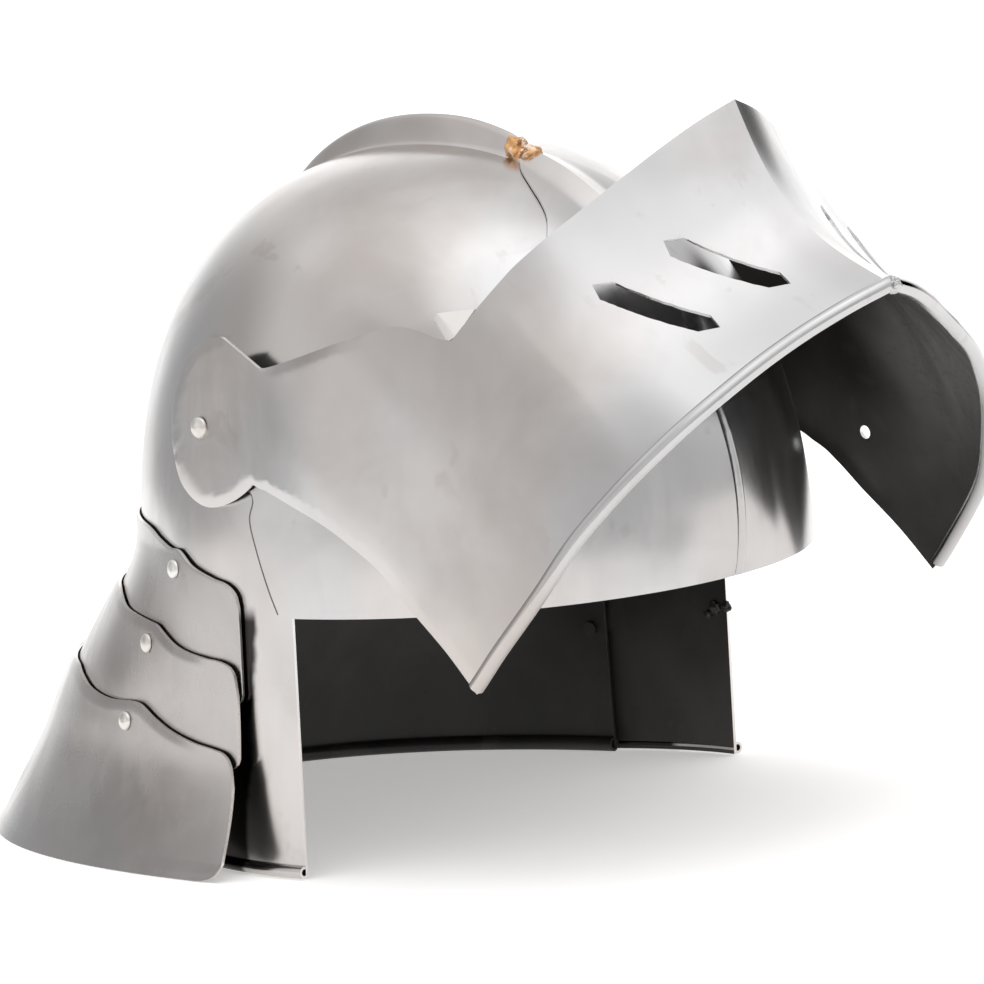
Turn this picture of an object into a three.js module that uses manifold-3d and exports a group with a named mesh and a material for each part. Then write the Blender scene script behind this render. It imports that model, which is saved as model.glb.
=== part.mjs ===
// A sallet: a helmet with a long tail of three plates and a visor raised on two side rivets.
// Millimetres. The front faces -Y, up is +Z, and the left and right halves mirror each other in X.
// While the pieces are made, x = y = 0 is the middle of the skull and z = 0 is the lower edge.

import * as THREE from 'three';
import { mergeVertices } from 'three/addons/utils/BufferGeometryUtils.js';
import Module from 'manifold-3d';

const wasm = await Module();
wasm.setup();

// Sheet and fit
const skullWall = 1.4;
const plateWall = 1.3;
const lameWall = 1.2;
const visorWall = 1.5;
const fitGap = 0.3;
const nestGap = 1;
const beyond = 400;
const rollSides = 4;

// Skull
const skullHalfWidth = 107.5;
const skullHalfLength = 124.5;
const rimHeight = 90.5;
const domeHeight = 146.8;
const domeFullness = 2.37;
const panelFront = -18;
const panelLean = 6;
const panelBack = 50;
const skullBackEdge = 70;
const panelRollRadius = 2.1;

// Comb along the top of the bowl
const combFront = -47;
const combBack = 84;
const combRise = 9.5;
const combBaseWidth = 15;
const combTopWidth = 4;
const combRoot = 1;
const combShoulder = { up: 0.72, out: 1.15, crest: 0.6 };

// Brow plate, brazed over the front of the bowl
const browWall = 1.4;
const browOverlap = 0.7;
const browRidge = 6;
const browRidgeWidth = 26;
const browRidgeHeight = 75;
const browPeak = 41;
const browPeakHalfWidth = 29;
const browPeakDepth = 39;

// Tail
const tailTop = 125;
const tailFlareWidth = 11.7;
const tailFlareReach = 79.7;
const tailSquareness = 0.5;
const tailSquareHeight = 110;
const lameStep = lameWall + 1.2;
const rivetHeadRadius = 3.4;
const rivetHeadRise = 1.6;
const rivetShank = 1.5;
const burrRadius = 2.6;
const burrDepth = 1.2;
const burrSlack = 0.8;
const rivetLift = fitGap + 0.2;

// Inner neck plate, riveted inside the neck panels near its front edges
const neckRivetY = 46;
const neckRivetZ = 45;
const backPlateFront = 39;
const backPlateTop = 95;
const backPlateFlare = 43.5;
const backPlateReach = skullHalfLength + backPlateFlare;
const backPlateBend = 64;
const backRollRadius = 2.6;
const backRollInset = 2;
const plateFoot = 0.4;

// Visor, drawn in its lowered place and then raised about the pivots
const pivotY = 19;
const pivotZ = 154.6;
const raisedAngle = 45;
const visorStandOff = 6.3;
const visorHalfWidth = skullHalfWidth + visorStandOff;
const visorAhead = 44.5;
const visorReach = skullHalfLength + visorAhead;
const visorTop = 108;
const visorFoot = 19;
const visorTip = 3.4;
const visorBatter = 5;
const keelHollow = 11.5;
const keelHollowSpread = 85;
const visorRollRadius = 3;
const lobeRadius = 28;
const lobeBack = -6.5;
const lobeUp = -5.1;
const pivotShank = 3;
const pivotHeadRadius = 4.6;
const pivotHeadRise = 2.2;
const pivotBurrRadius = 5;
const pivotSlack = 2.3;
const lobeLeanRise = 0.6;

// Sights and the small hole in the left side of the visor
const sightWidth = 6.8;
const sightLength = 43;
const sightTaper = 5;
const sightLean = 26;
const innerSight = { across: 29.1, up: 60 };
const outerSight = { across: 53, up: 60 };
const sideHole = { along: -30, up: 55, radius: 2.4 };
const sideBore = 60;
const rollStations = 11.2;

const steel = { color: 0xb9bcc0, roughness: 0.28, metalness: 1 };
const darkSteel = { color: 0x4a4846, roughness: 0.5, metalness: 0.9 };
const rivetSteel = { color: 0xc9cacb, roughness: 0.3, metalness: 1 };

const clamp = (value, low, high) => Math.min(Math.max(value, low), high);
const lerp = THREE.MathUtils.lerp;

// Reads a column of a table whose rows go up in "at".
function readTable(rows, at, column) {
  if (at <= rows[0].at) return rows[0][column];
  for (let i = 1; i < rows.length; i += 1) {
    if (at <= rows[i].at) {
      const share = (at - rows[i - 1].at) / (rows[i].at - rows[i - 1].at);
      return lerp(rows[i - 1][column], rows[i][column], share);
    }
  }
  return rows[rows.length - 1][column];
}

function steps(from, to, count) {
  return Array.from({ length: count + 1 }, (_, i) => lerp(from, to, i / count));
}

function toSolid(geometry) {
  const bare = geometry.clone();
  bare.deleteAttribute('normal');
  bare.deleteAttribute('uv');
  const merged = mergeVertices(bare, 1e-4);
  return new wasm.Manifold(new wasm.Mesh({
    numProp: 3,
    vertProperties: new Float32Array(merged.attributes.position.array),
    triVerts: new Uint32Array(merged.index.array),
  }));
}

function toGeometry(solid) {
  const mesh = solid.getMesh();
  const geometry = new THREE.BufferGeometry();
  const positions = new Float32Array(mesh.numVert * 3);
  for (let i = 0; i < mesh.numVert; i += 1) {
    for (let k = 0; k < 3; k += 1) {
      positions[i * 3 + k] = mesh.vertProperties[i * mesh.numProp + k];
    }
  }
  geometry.setAttribute('position', new THREE.BufferAttribute(positions, 3));
  geometry.setIndex(new THREE.BufferAttribute(new Uint32Array(mesh.triVerts), 1));
  geometry.computeVertexNormals();
  return geometry;
}

// A sheet of even thickness: the outer face is surface(u, v) and the inner face lies one wall inside it.
function sheetSolid(surface, us, vs, wall, inside) {
  const outer = [];
  const inner = [];
  const du = (us[us.length - 1] - us[0]) * 1e-3;
  const dv = (vs[vs.length - 1] - vs[0]) * 1e-3;
  for (const u of us) {
    for (const v of vs) {
      const p = surface(u, v);
      const u0 = Math.max(u - du, us[0]);
      const u1 = Math.min(u + du, us[us.length - 1]);
      const v0 = Math.max(v - dv, vs[0]);
      const v1 = Math.min(v + dv, vs[vs.length - 1]);
      const alongU = surface(u1, v).sub(surface(u0, v));
      const alongV = surface(u, v1).sub(surface(u, v0));
      const normal = alongU.cross(alongV).normalize();
      if (normal.dot(inside.clone().sub(p)) < 0) normal.negate();
      outer.push(p);
      inner.push(p.clone().addScaledVector(normal, wall));
    }
  }
  return gridSolid(outer, inner, us.length, vs.length);
}

// Joins two grids of points, rows of nv along v, into one closed body.
function gridSolid(outer, inner, nu, nv) {
  const points = outer.concat(inner);
  const faces = [];
  const lower = outer.length;
  const quad = (a, b, c, d) => faces.push(a, b, c, a, c, d);
  for (let i = 0; i < nu - 1; i += 1) {
    for (let j = 0; j < nv - 1; j += 1) {
      const a = i * nv + j;
      quad(a, a + nv, a + nv + 1, a + 1);
      quad(lower + a, lower + a + 1, lower + a + nv + 1, lower + a + nv);
    }
  }
  for (let i = 0; i < nu - 1; i += 1) {
    const low = i * nv;
    const high = i * nv + nv - 1;
    quad(low, lower + low, lower + low + nv, low + nv);
    quad(high, high + nv, lower + high + nv, lower + high);
  }
  for (let j = 0; j < nv - 1; j += 1) {
    const last = (nu - 1) * nv + j;
    quad(j, j + 1, lower + j + 1, lower + j);
    quad(last, lower + last, lower + last + 1, last + 1);
  }
  return closedSolid(points, faces);
}

function closedSolid(points, faces) {
  const geometry = new THREE.BufferGeometry();
  const numbers = points.flatMap((p) => [p.x, p.y, p.z]);
  geometry.setAttribute('position', new THREE.Float32BufferAttribute(numbers, 3));
  geometry.setIndex(faces);
  const solid = toSolid(geometry);
  if (solid.volume() > 0) return solid;
  const turned = [];
  for (let i = 0; i < faces.length; i += 3) turned.push(faces[i], faces[i + 2], faces[i + 1]);
  geometry.setIndex(turned);
  return toSolid(geometry);
}

// A prism with its outline drawn in (y, z), running right through the helmet along X.
function sidePrism(outline, fromX, toX) {
  const shape = new THREE.Shape(outline.map(([y, z]) => new THREE.Vector2(y, z)));
  const geometry = new THREE.ExtrudeGeometry(shape, { depth: toX - fromX, bevelEnabled: false });
  const place = new THREE.Matrix4().makeBasis(
    new THREE.Vector3(0, 1, 0),
    new THREE.Vector3(0, 0, 1),
    new THREE.Vector3(1, 0, 0),
  );
  place.setPosition(fromX, 0, 0);
  geometry.applyMatrix4(place);
  return toSolid(geometry);
}

// A prism with its outline drawn in (x, z), running along Y.
function frontPrism(outline, fromY, toY) {
  const shape = new THREE.Shape(outline.map(([x, z]) => new THREE.Vector2(x, z)));
  const geometry = new THREE.ExtrudeGeometry(shape, { depth: toY - fromY, bevelEnabled: false });
  geometry.rotateX(Math.PI / 2);
  geometry.translate(0, toY, 0);
  return toSolid(geometry);
}

// A prism with its outline drawn in (x, y), running upwards.
function planPrism(outline, fromZ, toZ) {
  const shape = new THREE.Shape(outline.map(([x, y]) => new THREE.Vector2(x, y)));
  const geometry = new THREE.ExtrudeGeometry(shape, { depth: toZ - fromZ, bevelEnabled: false });
  geometry.translate(0, 0, fromZ);
  return toSolid(geometry);
}

// A round bar of the given radius that follows a row of points.
function barAlong(points, radius) {
  const circle = new THREE.Shape();
  circle.absarc(0, 0, radius, 0, Math.PI * 2);
  const path = new THREE.CatmullRomCurve3(points);
  return toSolid(new THREE.ExtrudeGeometry(circle, {
    extrudePath: path,
    steps: points.length - 1,
    curveSegments: rollSides,
    bevelEnabled: false,
  }));
}

function cylinderAt(point, direction, radius, length, segments = 16) {
  const geometry = new THREE.CylinderGeometry(radius, radius, length, segments);
  const turn = new THREE.Quaternion().setFromUnitVectors(new THREE.Vector3(0, 1, 0), direction);
  geometry.applyQuaternion(turn);
  geometry.translate(point.x, point.y, point.z);
  return toSolid(geometry);
}

// Shape of the bowl

// Share of the full plan that the bowl keeps at a height above the rim.
function domeShare(z, offset) {
  const rise = clamp((z - rimHeight) / (domeHeight + offset), 0, 1);
  return (1 - rise ** domeFullness) ** (1 / domeFullness);
}

// Angle 0 is the front, and the angle grows to the helmet's left.
function bowlPoint(angle, v, offset) {
  const z = v <= 0 ? rimHeight * (1 + v) : rimHeight + (domeHeight + offset) * Math.sin(v * Math.PI / 2);
  const share = domeShare(z, offset);
  const x = (skullHalfWidth + offset) * share * Math.sin(angle);
  const crest = Math.sin(clamp((z - rimHeight) / browRidgeHeight, 0, 1) * Math.PI) ** 0.7;
  const ridge = Math.cos(angle) > 0 ? browRidge * crest * Math.max(0, 1 - Math.abs(x) / browRidgeWidth) : 0;
  const y = -(skullHalfLength + offset) * share * Math.cos(angle) - ridge;
  return new THREE.Vector3(x, y, z);
}

// Outer half width of the bowl at a point of its side.
function bowlSide(y, z) {
  const share = domeShare(z, 0);
  return skullHalfWidth * share * Math.sqrt(1 - (y / (skullHalfLength * share)) ** 2);
}

function bowlShell(offset, wall) {
  const angleCount = 46;
  const vs = [-1.03, -0.55, -0.22, 0, 0.09, 0.18, 0.28, 0.38, 0.48, 0.58, 0.68, 0.78, 0.87, 0.94, 1];
  const frontAngle = browRidgeWidth / skullHalfWidth;
  const angles = [];
  for (let i = 0; i < angleCount; i += 1) angles.push((i / angleCount) * Math.PI * 2);
  angles.push(frontAngle, Math.PI * 2 - frontAngle);
  angles.sort((a, b) => a - b);
  const skin = (grow, rows) => rows.map((v) => angles.map((angle) => bowlPoint(angle, v, grow)));
  const outerRows = skin(offset, vs);
  const innerRows = skin(offset - wall, vs);
  const points = [];
  const faces = [];
  const count = angles.length;
  const addSkin = (rows, turn) => {
    const base = points.length;
    rows.slice(0, -1).forEach((row) => points.push(...row));
    const top = points.push(rows[rows.length - 1][0].clone()) - 1;
    const triangle = (a, b, c) => (turn ? faces.push(a, c, b) : faces.push(a, b, c));
    for (let j = 0; j < rows.length - 2; j += 1) {
      for (let i = 0; i < count; i += 1) {
        const next = (i + 1) % count;
        const a = base + j * count + i;
        const b = base + j * count + next;
        triangle(a, b, b + count);
        triangle(a, b + count, a + count);
      }
    }
    const last = base + (rows.length - 2) * count;
    for (let i = 0; i < count; i += 1) triangle(last + i, last + (i + 1) % count, top);
    return base;
  };
  const outerBase = addSkin(outerRows, false);
  const innerBase = addSkin(innerRows, true);
  for (let i = 0; i < count; i += 1) {
    const next = (i + 1) % count;
    faces.push(outerBase + i, innerBase + next, outerBase + next);
    faces.push(outerBase + i, innerBase + i, innerBase + next);
  }
  return closedSolid(points, faces);
}

// Comb: a ridge with sloping sides, standing on the top of the bowl

function makeComb() {
  const rows = [
    { at: 0, rise: 0.45, width: 0.7 },
    { at: 0.08, rise: 0.8, width: 0.9 },
    { at: 0.3, rise: 1.05, width: 1 },
    { at: 0.55, rise: 1, width: 1 },
    { at: 0.8, rise: 0.72, width: 0.9 },
    { at: 1, rise: 0.1, width: 0.55 },
  ];
  const points = [];
  const faces = [];
  const shares = steps(0, 1, 10);
  for (const share of shares) {
    const y = lerp(combFront, combBack, share);
    const outward = Math.abs(y / skullHalfLength);
    const bowl = rimHeight + domeHeight * (1 - outward ** domeFullness) ** (1 / domeFullness);
    const root = bowl - combRoot;
    const rise = combRise * readTable(rows, share, 'rise');
    const shoulder = bowl + rise * combShoulder.up;
    const base = combBaseWidth / 2 * readTable(rows, share, 'width');
    const top = combTopWidth / 2 * readTable(rows, share, 'width');
    points.push(
      new THREE.Vector3(-base, y, root),
      new THREE.Vector3(-top * combShoulder.out, y, shoulder),
      new THREE.Vector3(-top * combShoulder.crest, y, bowl + rise),
      new THREE.Vector3(top * combShoulder.crest, y, bowl + rise),
      new THREE.Vector3(top * combShoulder.out, y, shoulder),
      new THREE.Vector3(base, y, root),
    );
  }
  const ring = 6;
  for (let i = 0; i < shares.length - 1; i += 1) {
    for (let j = 0; j < ring; j += 1) {
      const a = i * ring + j;
      const b = i * ring + (j + 1) % ring;
      faces.push(a, b, b + ring, a, b + ring, a + ring);
    }
  }
  const last = (shares.length - 1) * ring;
  for (let j = 1; j < ring - 1; j += 1) {
    faces.push(0, j + 1, j);
    faces.push(last, last + j, last + j + 1);
  }
  return closedSolid(points, faces);
}

// Skull: bowl, neck panels with rolled lower edges, comb and brow plate, brazed into one

// Side edge of the brow plate: shares of the skull's half length and of the dome's height.
const browEdge = [
  [-0.112, 0], [-0.084, 0.061], [-0.048, 0.157], [-0.028, 0.225], [-0.04, 0.279], [0.032, 0.341],
  [0.048, 0.422], [-0.08, 0.627], [-0.402, 0.736],
];

// The brow plate's peak, in shares of its half width and depth, from near its point to the side edge.
const browPeakEdge = [[0.34, 0.26], [0.53, 0.5], [0.66, 0.71], [0.78, 0.86], [1, 1]];
const browPeakRise = 0.797;

function makeBrowPlate() {
  const sideEdge = browEdge.map(([back, up]) => [back * skullHalfLength, rimHeight + up * domeHeight]);
  const peakFront = -browPeak - browPeakDepth;
  const sides = sidePrism([
    [-beyond, rimHeight], ...sideEdge, [peakFront, rimHeight + browPeakRise * domeHeight],
    [peakFront, beyond], [-beyond, beyond],
  ], -beyond, beyond);
  const left = browPeakEdge.map(([x, y]) => [x * browPeakHalfWidth, -browPeak - y * browPeakDepth]);
  const right = left.map(([x, y]) => [-x, y]);
  const front = -browPeak - browPeakDepth * 2;
  const middle = planPrism([
    [0, -browPeak], ...right, [-browPeakHalfWidth, front], [browPeakHalfWidth, front], ...left.reverse(),
  ], rimHeight, beyond);
  return bowlShell(browWall, browWall + browOverlap).intersect(sides.add(middle));
}

function makeSkull() {
  const opening = sidePrism([
    [-beyond, -beyond], [-beyond, rimHeight], [panelFront, rimHeight], [panelFront + panelLean, 0],
    [panelBack, 0],
    [panelBack, skullBackEdge], [beyond, skullBackEdge], [beyond, -beyond],
  ], -beyond, beyond);
  let skull = bowlShell(0, skullWall).subtract(opening).add(makeBrowPlate()).add(makeComb());
  const rollEnds = [panelFront + panelLean, panelBack - panelRollRadius * 1.5];
  for (const side of [-1, 1]) {
    const path = steps(rollEnds[0], rollEnds[1], 8).map((y) => new THREE.Vector3(
      side * (bowlSide(y, rimHeight) + 0.6),
      y,
      panelRollRadius,
    ));
    skull = skull.add(barAlong(path, panelRollRadius));
  }
  return skull;
}

// Tail: three plates, each lower one outside the one above

// Heights are shares of the tail's top, and "wide" and "long" are shares of its flare beyond the skull.
const tailRows = [
  { at: 0, wide: 1, long: 1 },
  { at: 0.16, wide: 0.487, long: 0.837 },
  { at: 0.28, wide: 0.265, long: 0.701 },
  { at: 0.4, wide: 0.179, long: 0.583 },
  { at: 0.52, wide: 0.162, long: 0.445 },
  { at: 0.64, wide: 0.162, long: 0.274 },
  { at: 0.76, wide: 0.171, long: 0.1 },
  { at: 0.84, wide: 0.162, long: 0.026 },
  { at: 1, wide: 0.051, long: 0.006 },
];

// Point of the tail at an angle from the helmet's left (0) over the back (90) to its right (180).
function tailPoint(angle, z, offset) {
  const power = 2 / (2 + tailSquareness * clamp(1 - z / tailSquareHeight, 0, 1));
  const width = skullHalfWidth + tailFlareWidth * readTable(tailRows, z / tailTop, 'wide') + offset;
  const reach = skullHalfLength + tailFlareReach * readTable(tailRows, z / tailTop, 'long') + offset;
  const c = Math.cos(angle);
  const s = Math.sin(angle);
  const x = width * Math.sign(c) * Math.abs(c) ** power;
  return new THREE.Vector3(x, reach * Math.sign(s) * Math.abs(s) ** power, z);
}

// Edge rows: "at" is the angle in degrees from the front corner to the middle of the back.
// Heights are shares of the tail's top, and rivetBack is a share of the skull's half length.
const lames = [
  {
    name: 'tail_lame_1',
    offset: 0,
    low: 0.464,
    lowBack: 0.672,
    rivetBack: 0.341,
    rivetUp: 0.832,
    edge: [
      { at: 2, top: 0.768 }, { at: 4.5, top: 0.808 }, { at: 8, top: 0.822 }, { at: 14, top: 0.848 },
      { at: 19, top: 0.888 }, { at: 26, top: 0.908 }, { at: 35, top: 0.93 }, { at: 60, top: 0.936 },
      { at: 90, top: 0.936 },
    ],
  },
  {
    name: 'tail_lame_2',
    offset: lameStep,
    low: 0.288,
    lowBack: 0.48,
    rivetBack: 0.474,
    rivetUp: 0.62,
    edge: [
      { at: 2, top: 0.528 }, { at: 4, top: 0.584 }, { at: 12, top: 0.61 }, { at: 17, top: 0.642 },
      { at: 21, top: 0.677 }, { at: 27, top: 0.688 }, { at: 34, top: 0.7 }, { at: 41, top: 0.723 },
      { at: 47, top: 0.735 }, { at: 90, top: 0.735 },
    ],
  },
  {
    name: 'tail_lame_3',
    offset: lameStep * 2,
    low: -0.012,
    lowBack: -0.012,
    rivetBack: 0.57,
    rivetUp: 0.4,
    edge: [
      { at: 2, top: 0.28 }, { at: 4.5, top: 0.352 }, { at: 12, top: 0.392 }, { at: 18, top: 0.442 },
      { at: 20, top: 0.457 }, { at: 27, top: 0.453 }, { at: 34, top: 0.464 }, { at: 41, top: 0.49 },
      { at: 47, top: 0.508 }, { at: 90, top: 0.508 },
    ],
  },
];

// Angles of the plates' bends, the same for all three so that they nest.
const lameAngles = [2, 4.5, 8, 12, 16, 20, 25, 30, 35, 41, 47, 53, 60, 67, 74, 82, 90];

function makeLame(lame) {
  const half = lameAngles.map((angle) => THREE.MathUtils.degToRad(angle));
  const us = half.concat(half.slice(0, -1).reverse().map((u) => Math.PI - u));
  const surface = (u, v) => {
    const fromCorner = THREE.MathUtils.radToDeg(Math.min(u, Math.PI - u));
    const top = readTable(lame.edge, fromCorner, 'top');
    const low = lerp(lame.low, lame.lowBack, (fromCorner - lame.edge[0].at) / (90 - lame.edge[0].at));
    return tailPoint(u, lerp(low, top, v) * tailTop, lame.offset);
  };
  const rows = steps(0, 1, lame.offset > lameStep ? 4 : 3);
  return sheetSolid(surface, us, rows, lameWall, new THREE.Vector3(0, 0, rimHeight / 2));
}

// Where a lame's rivet meets its outer face, and the way it points out.
function rivetSeat(lame, side) {
  const z = lame.rivetUp * tailTop;
  let angle = 0;
  while (tailPoint(angle, z, lame.offset).y < lame.rivetBack * skullHalfLength) angle += 0.001;
  const point = tailPoint(angle, z, lame.offset);
  const around = tailPoint(angle + 0.02, z, lame.offset).sub(tailPoint(angle - 0.02, z, lame.offset));
  const upwards = tailPoint(angle, z + 2, lame.offset).sub(tailPoint(angle, z - 2, lame.offset));
  const out = around.cross(upwards).normalize();
  point.x *= side;
  out.x *= side;
  return { point, out };
}

// Inner neck plate

function backPlateReachAt(z) {
  return lerp(backPlateReach, skullHalfLength - skullWall - nestGap, clamp(z / backPlateBend, 0, 1));
}

// The plate slips inside the panels at their rear edges, so its width follows from theirs.
function backPlatePoint(angle, z, offset) {
  const reach = backPlateReachAt(z);
  const panelReach = skullHalfLength - skullWall;
  const panel = (skullHalfWidth - skullWall) * Math.sqrt(1 - (panelBack / panelReach) ** 2);
  const width = (panel - nestGap) / Math.sqrt(1 - (panelBack / reach) ** 2);
  return new THREE.Vector3((width + offset) * Math.cos(angle), (reach + offset) * Math.sin(angle), z);
}

function makeBackPlate() {
  const frontAngle = (z) => Math.asin(backPlateFront / backPlateReachAt(z));
  const surface = (u, z) => {
    const first = frontAngle(z);
    return backPlatePoint(lerp(first, Math.PI - first, u), z, 0);
  };
  const heights = [plateFoot, backPlateBend / 2, backPlateBend, backPlateTop];
  const inside = new THREE.Vector3(0, 0, rimHeight / 2);
  const sheet = sheetSolid(surface, steps(0, 1, 22), heights, plateWall, inside);
  const first = frontAngle(backRollRadius);
  const angles = steps(first, Math.PI - first, 18);
  const path = angles.map((angle) => backPlatePoint(angle, backRollRadius, -backRollInset));
  return sheet.add(barAlong(path, backRollRadius));
}

// Visor

const visorPlan = [
  { at: 0, across: 0, ahead: 1 },
  { at: 1, across: 0.125, ahead: 0.962 },
  { at: 2, across: 0.24, ahead: 0.915 },
  { at: 3, across: 0.35, ahead: 0.861 },
  { at: 4, across: 0.47, ahead: 0.8 },
  { at: 5, across: 0.595, ahead: 0.733 },
  { at: 6, across: 0.7, ahead: 0.66 },
  { at: 7, across: 0.8, ahead: 0.575 },
  { at: 8, across: 0.89, ahead: 0.472 },
  { at: 9, across: 0.955, ahead: 0.36 },
  { at: 10, across: 0.987, ahead: 0.24 },
  { at: 11, across: 1, ahead: 0.12 },
  { at: 12, across: 1, ahead: 0 },
  { at: 13, across: 1, ahead: -0.12 },
  { at: 14, across: 1, ahead: -0.3 },
];

// Lean of the visor's sides: share of its half width at a height.
const visorSides = [
  { at: -20, share: 1.002 },
  { at: 0, share: 1 },
  { at: 90, share: 0.982 },
  { at: 119, share: 0.966 },
  { at: 154, share: 0.927 },
  { at: 200, share: 0.872 },
];

// Height of the lower edge, from its tip (0) to the keel's foot (1), at a share of the visor's reach.
const visorLowEdge = [
  { at: 0.11, up: 0 },
  { at: 0.17, up: 0.02 },
  { at: 0.345, up: 0.1 },
  { at: 0.47, up: 0.36 },
  { at: 0.575, up: 0.53 },
  { at: 0.73, up: 0.78 },
  { at: 0.86, up: 0.99 },
  { at: 1, up: 1 },
];

// Upper edge from the keel to the notch beside the lobe, then the rear edge from the lobe down to the tip:
// shares of the reach ahead of the middle, and of the height of the keel's top.
const visorUpperEdge = [
  [1, 1], [0.846, 0.972], [0.645, 0.935], [0.538, 0.894], [0.5, 0.88], [0.482, 0.921], [0.466, 0.977],
  [0.436, 1.046], [0.396, 1.09], [0.316, 1.167], [0.215, 1.256], [0.136, 1.33], [0.117, 1.356],
];
const visorRearEdge = [
  [-0.062, 1.102], [0.015, 0.843], [0.0485, 0.685], [0.068, 0.556], [0.073, 0.389], [0.082, 0.204],
];
const visorTipAhead = 0.08;

// Lobe round the pivot: angle in degrees, and distance from its middle in shares of its radius.
const lobeEdge = [
  [145, 1.1], [127, 1.03], [112, 0.99], [97, 0.955], [80, 0.915], [62, 0.905], [43, 0.91], [27, 0.95],
  [12, 1.01], [0, 1.06], [-16, 1.065], [-31, 1.04], [-53, 0.965], [-73, 0.94], [-89, 0.955],
];

function visorPoint(station, z) {
  const side = Math.sign(station);
  const at = Math.abs(station);
  const height = clamp((z - visorFoot) / (visorTop - visorFoot), 0, 1);
  const x = visorHalfWidth * readTable(visorPlan, at, 'across');
  const ahead = readTable(visorPlan, at, 'ahead');
  const spread = Math.max(0, 1 - (x / keelHollowSpread) ** 2);
  const hollow = keelHollow * Math.sin(Math.PI * height) * spread;
  const batter = visorBatter * height * clamp(ahead, 0, 1) * (1 - spread * 0.6);
  const y = -visorReach * ahead + hollow + batter;
  return new THREE.Vector3(side * x * readTable(visorSides, z, 'share'), y, z);
}

function visorLow(y) {
  return lerp(visorTip, visorFoot, readTable(visorLowEdge, -y / visorReach, 'up'));
}

function visorSheet() {
  const stations = [];
  for (let i = -14; i <= 14; i += 1) stations.push(i);
  const zs = [-6, 20, 34, 48, 62, 78, 94, 108, 128, 154, 186];
  return sheetSolid(visorPoint, stations, zs, visorWall, new THREE.Vector3(0, 60, 90));
}

// Outline of the lowered visor seen from the side: (y, z).
function visorOutline() {
  const place = ([ahead, up]) => [-ahead * visorReach, up * visorTop];
  const outline = [[-beyond, visorTop], ...visorUpperEdge.map(place)];
  for (const [degrees, share] of lobeEdge) {
    const angle = THREE.MathUtils.degToRad(degrees);
    outline.push([
      pivotY + lobeBack + lobeRadius * share * Math.cos(angle),
      pivotZ + lobeUp + lobeRadius * share * Math.sin(angle),
    ]);
  }
  outline.push(...visorRearEdge.map(place), [-visorTipAhead * visorReach, visorTip]);
  for (const share of [0.17, 0.26, 0.345, 0.47, 0.575, 0.73, 0.86, 1]) {
    const y = -visorReach * share;
    outline.push([y, visorLow(y)]);
  }
  outline.push([-beyond, visorFoot]);
  return outline;
}

// A sight: a slit with pointed ends, leaning outwards to the top.
function sightCut(sight, side) {
  const half = sightLength / 2;
  const taper = sightTaper;
  const lean = THREE.MathUtils.degToRad(sightLean);
  const flat = [
    [0, half], [sightWidth / 2, half - taper], [sightWidth / 2, -half + taper],
    [0, -half], [-sightWidth / 2, -half + taper], [-sightWidth / 2, half - taper],
  ];
  const outline = flat.map(([a, b]) => [
    side * (sight.across + a * Math.cos(lean) + b * Math.sin(lean)),
    sight.up - a * Math.sin(lean) + b * Math.cos(lean),
  ]);
  if (side < 0) outline.reverse();
  return frontPrism(outline, -beyond, -visorReach / 2);
}

function makeVisor() {
  let visor = visorSheet().intersect(sidePrism(visorOutline(), -beyond, beyond));
  const rollPath = [];
  for (const station of steps(-rollStations, rollStations, 28)) {
    const z = visorLow(visorPoint(station, visorFoot).y);
    rollPath.push(visorPoint(station, z + visorRollRadius * 0.4));
  }
  visor = visor.add(barAlong(rollPath, visorRollRadius));
  const along = new THREE.Vector3(1, 0, 0);
  for (const side of [-1, 1]) {
    visor = visor.subtract(sightCut(innerSight, side)).subtract(sightCut(outerSight, side));
    const seat = new THREE.Vector3(side * visorHalfWidth, pivotY, pivotZ);
    visor = visor.subtract(cylinderAt(seat, along, pivotShank + fitGap, sideBore));
  }
  const hole = new THREE.Vector3(visorHalfWidth, sideHole.along, sideHole.up);
  visor = visor.subtract(cylinderAt(hole, along, sideHole.radius, sideBore));
  const geometry = toGeometry(visor);
  geometry.translate(0, -pivotY, -pivotZ);
  return geometry;
}

// Rivets: a low dome outside, a shank through the plates and a flat burr inside

function rivetGeometry(headRadius, headRise, shank, grip, burr, segments) {
  const profile = [
    new THREE.Vector2(0, -grip - burrDepth),
    new THREE.Vector2(burr, -grip - burrDepth),
    new THREE.Vector2(burr, -grip),
    new THREE.Vector2(shank, -grip),
    new THREE.Vector2(shank, 0),
    new THREE.Vector2(headRadius, 0),
    new THREE.Vector2(headRadius * 0.86, headRise * 0.55),
    new THREE.Vector2(headRadius * 0.5, headRise * 0.9),
    new THREE.Vector2(0, headRise),
  ];
  const geometry = new THREE.LatheGeometry(profile, segments);
  return toGeometry(toSolid(geometry));
}

// The set

const sallet = new THREE.Group();
sallet.name = 'sallet';
const body = new THREE.Group();
sallet.add(body);

function addPiece(parent, name, geometry, look) {
  const mesh = new THREE.Mesh(geometry, new THREE.MeshStandardMaterial(look));
  mesh.name = name;
  parent.add(mesh);
  return mesh;
}

// Everything is cut off level at the lower edge, so that the helmet stands on a flat rim.
const underside = [[-beyond, -beyond], [beyond, -beyond], [beyond, 0], [-beyond, 0]];
const belowFloor = sidePrism(underside, -beyond, beyond);

const plates = {
  skull: makeSkull().subtract(belowFloor),
  back_plate: makeBackPlate().subtract(belowFloor),
};
lames.forEach((lame) => {
  plates[lame.name] = makeLame(lame).subtract(belowFloor);
});

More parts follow.
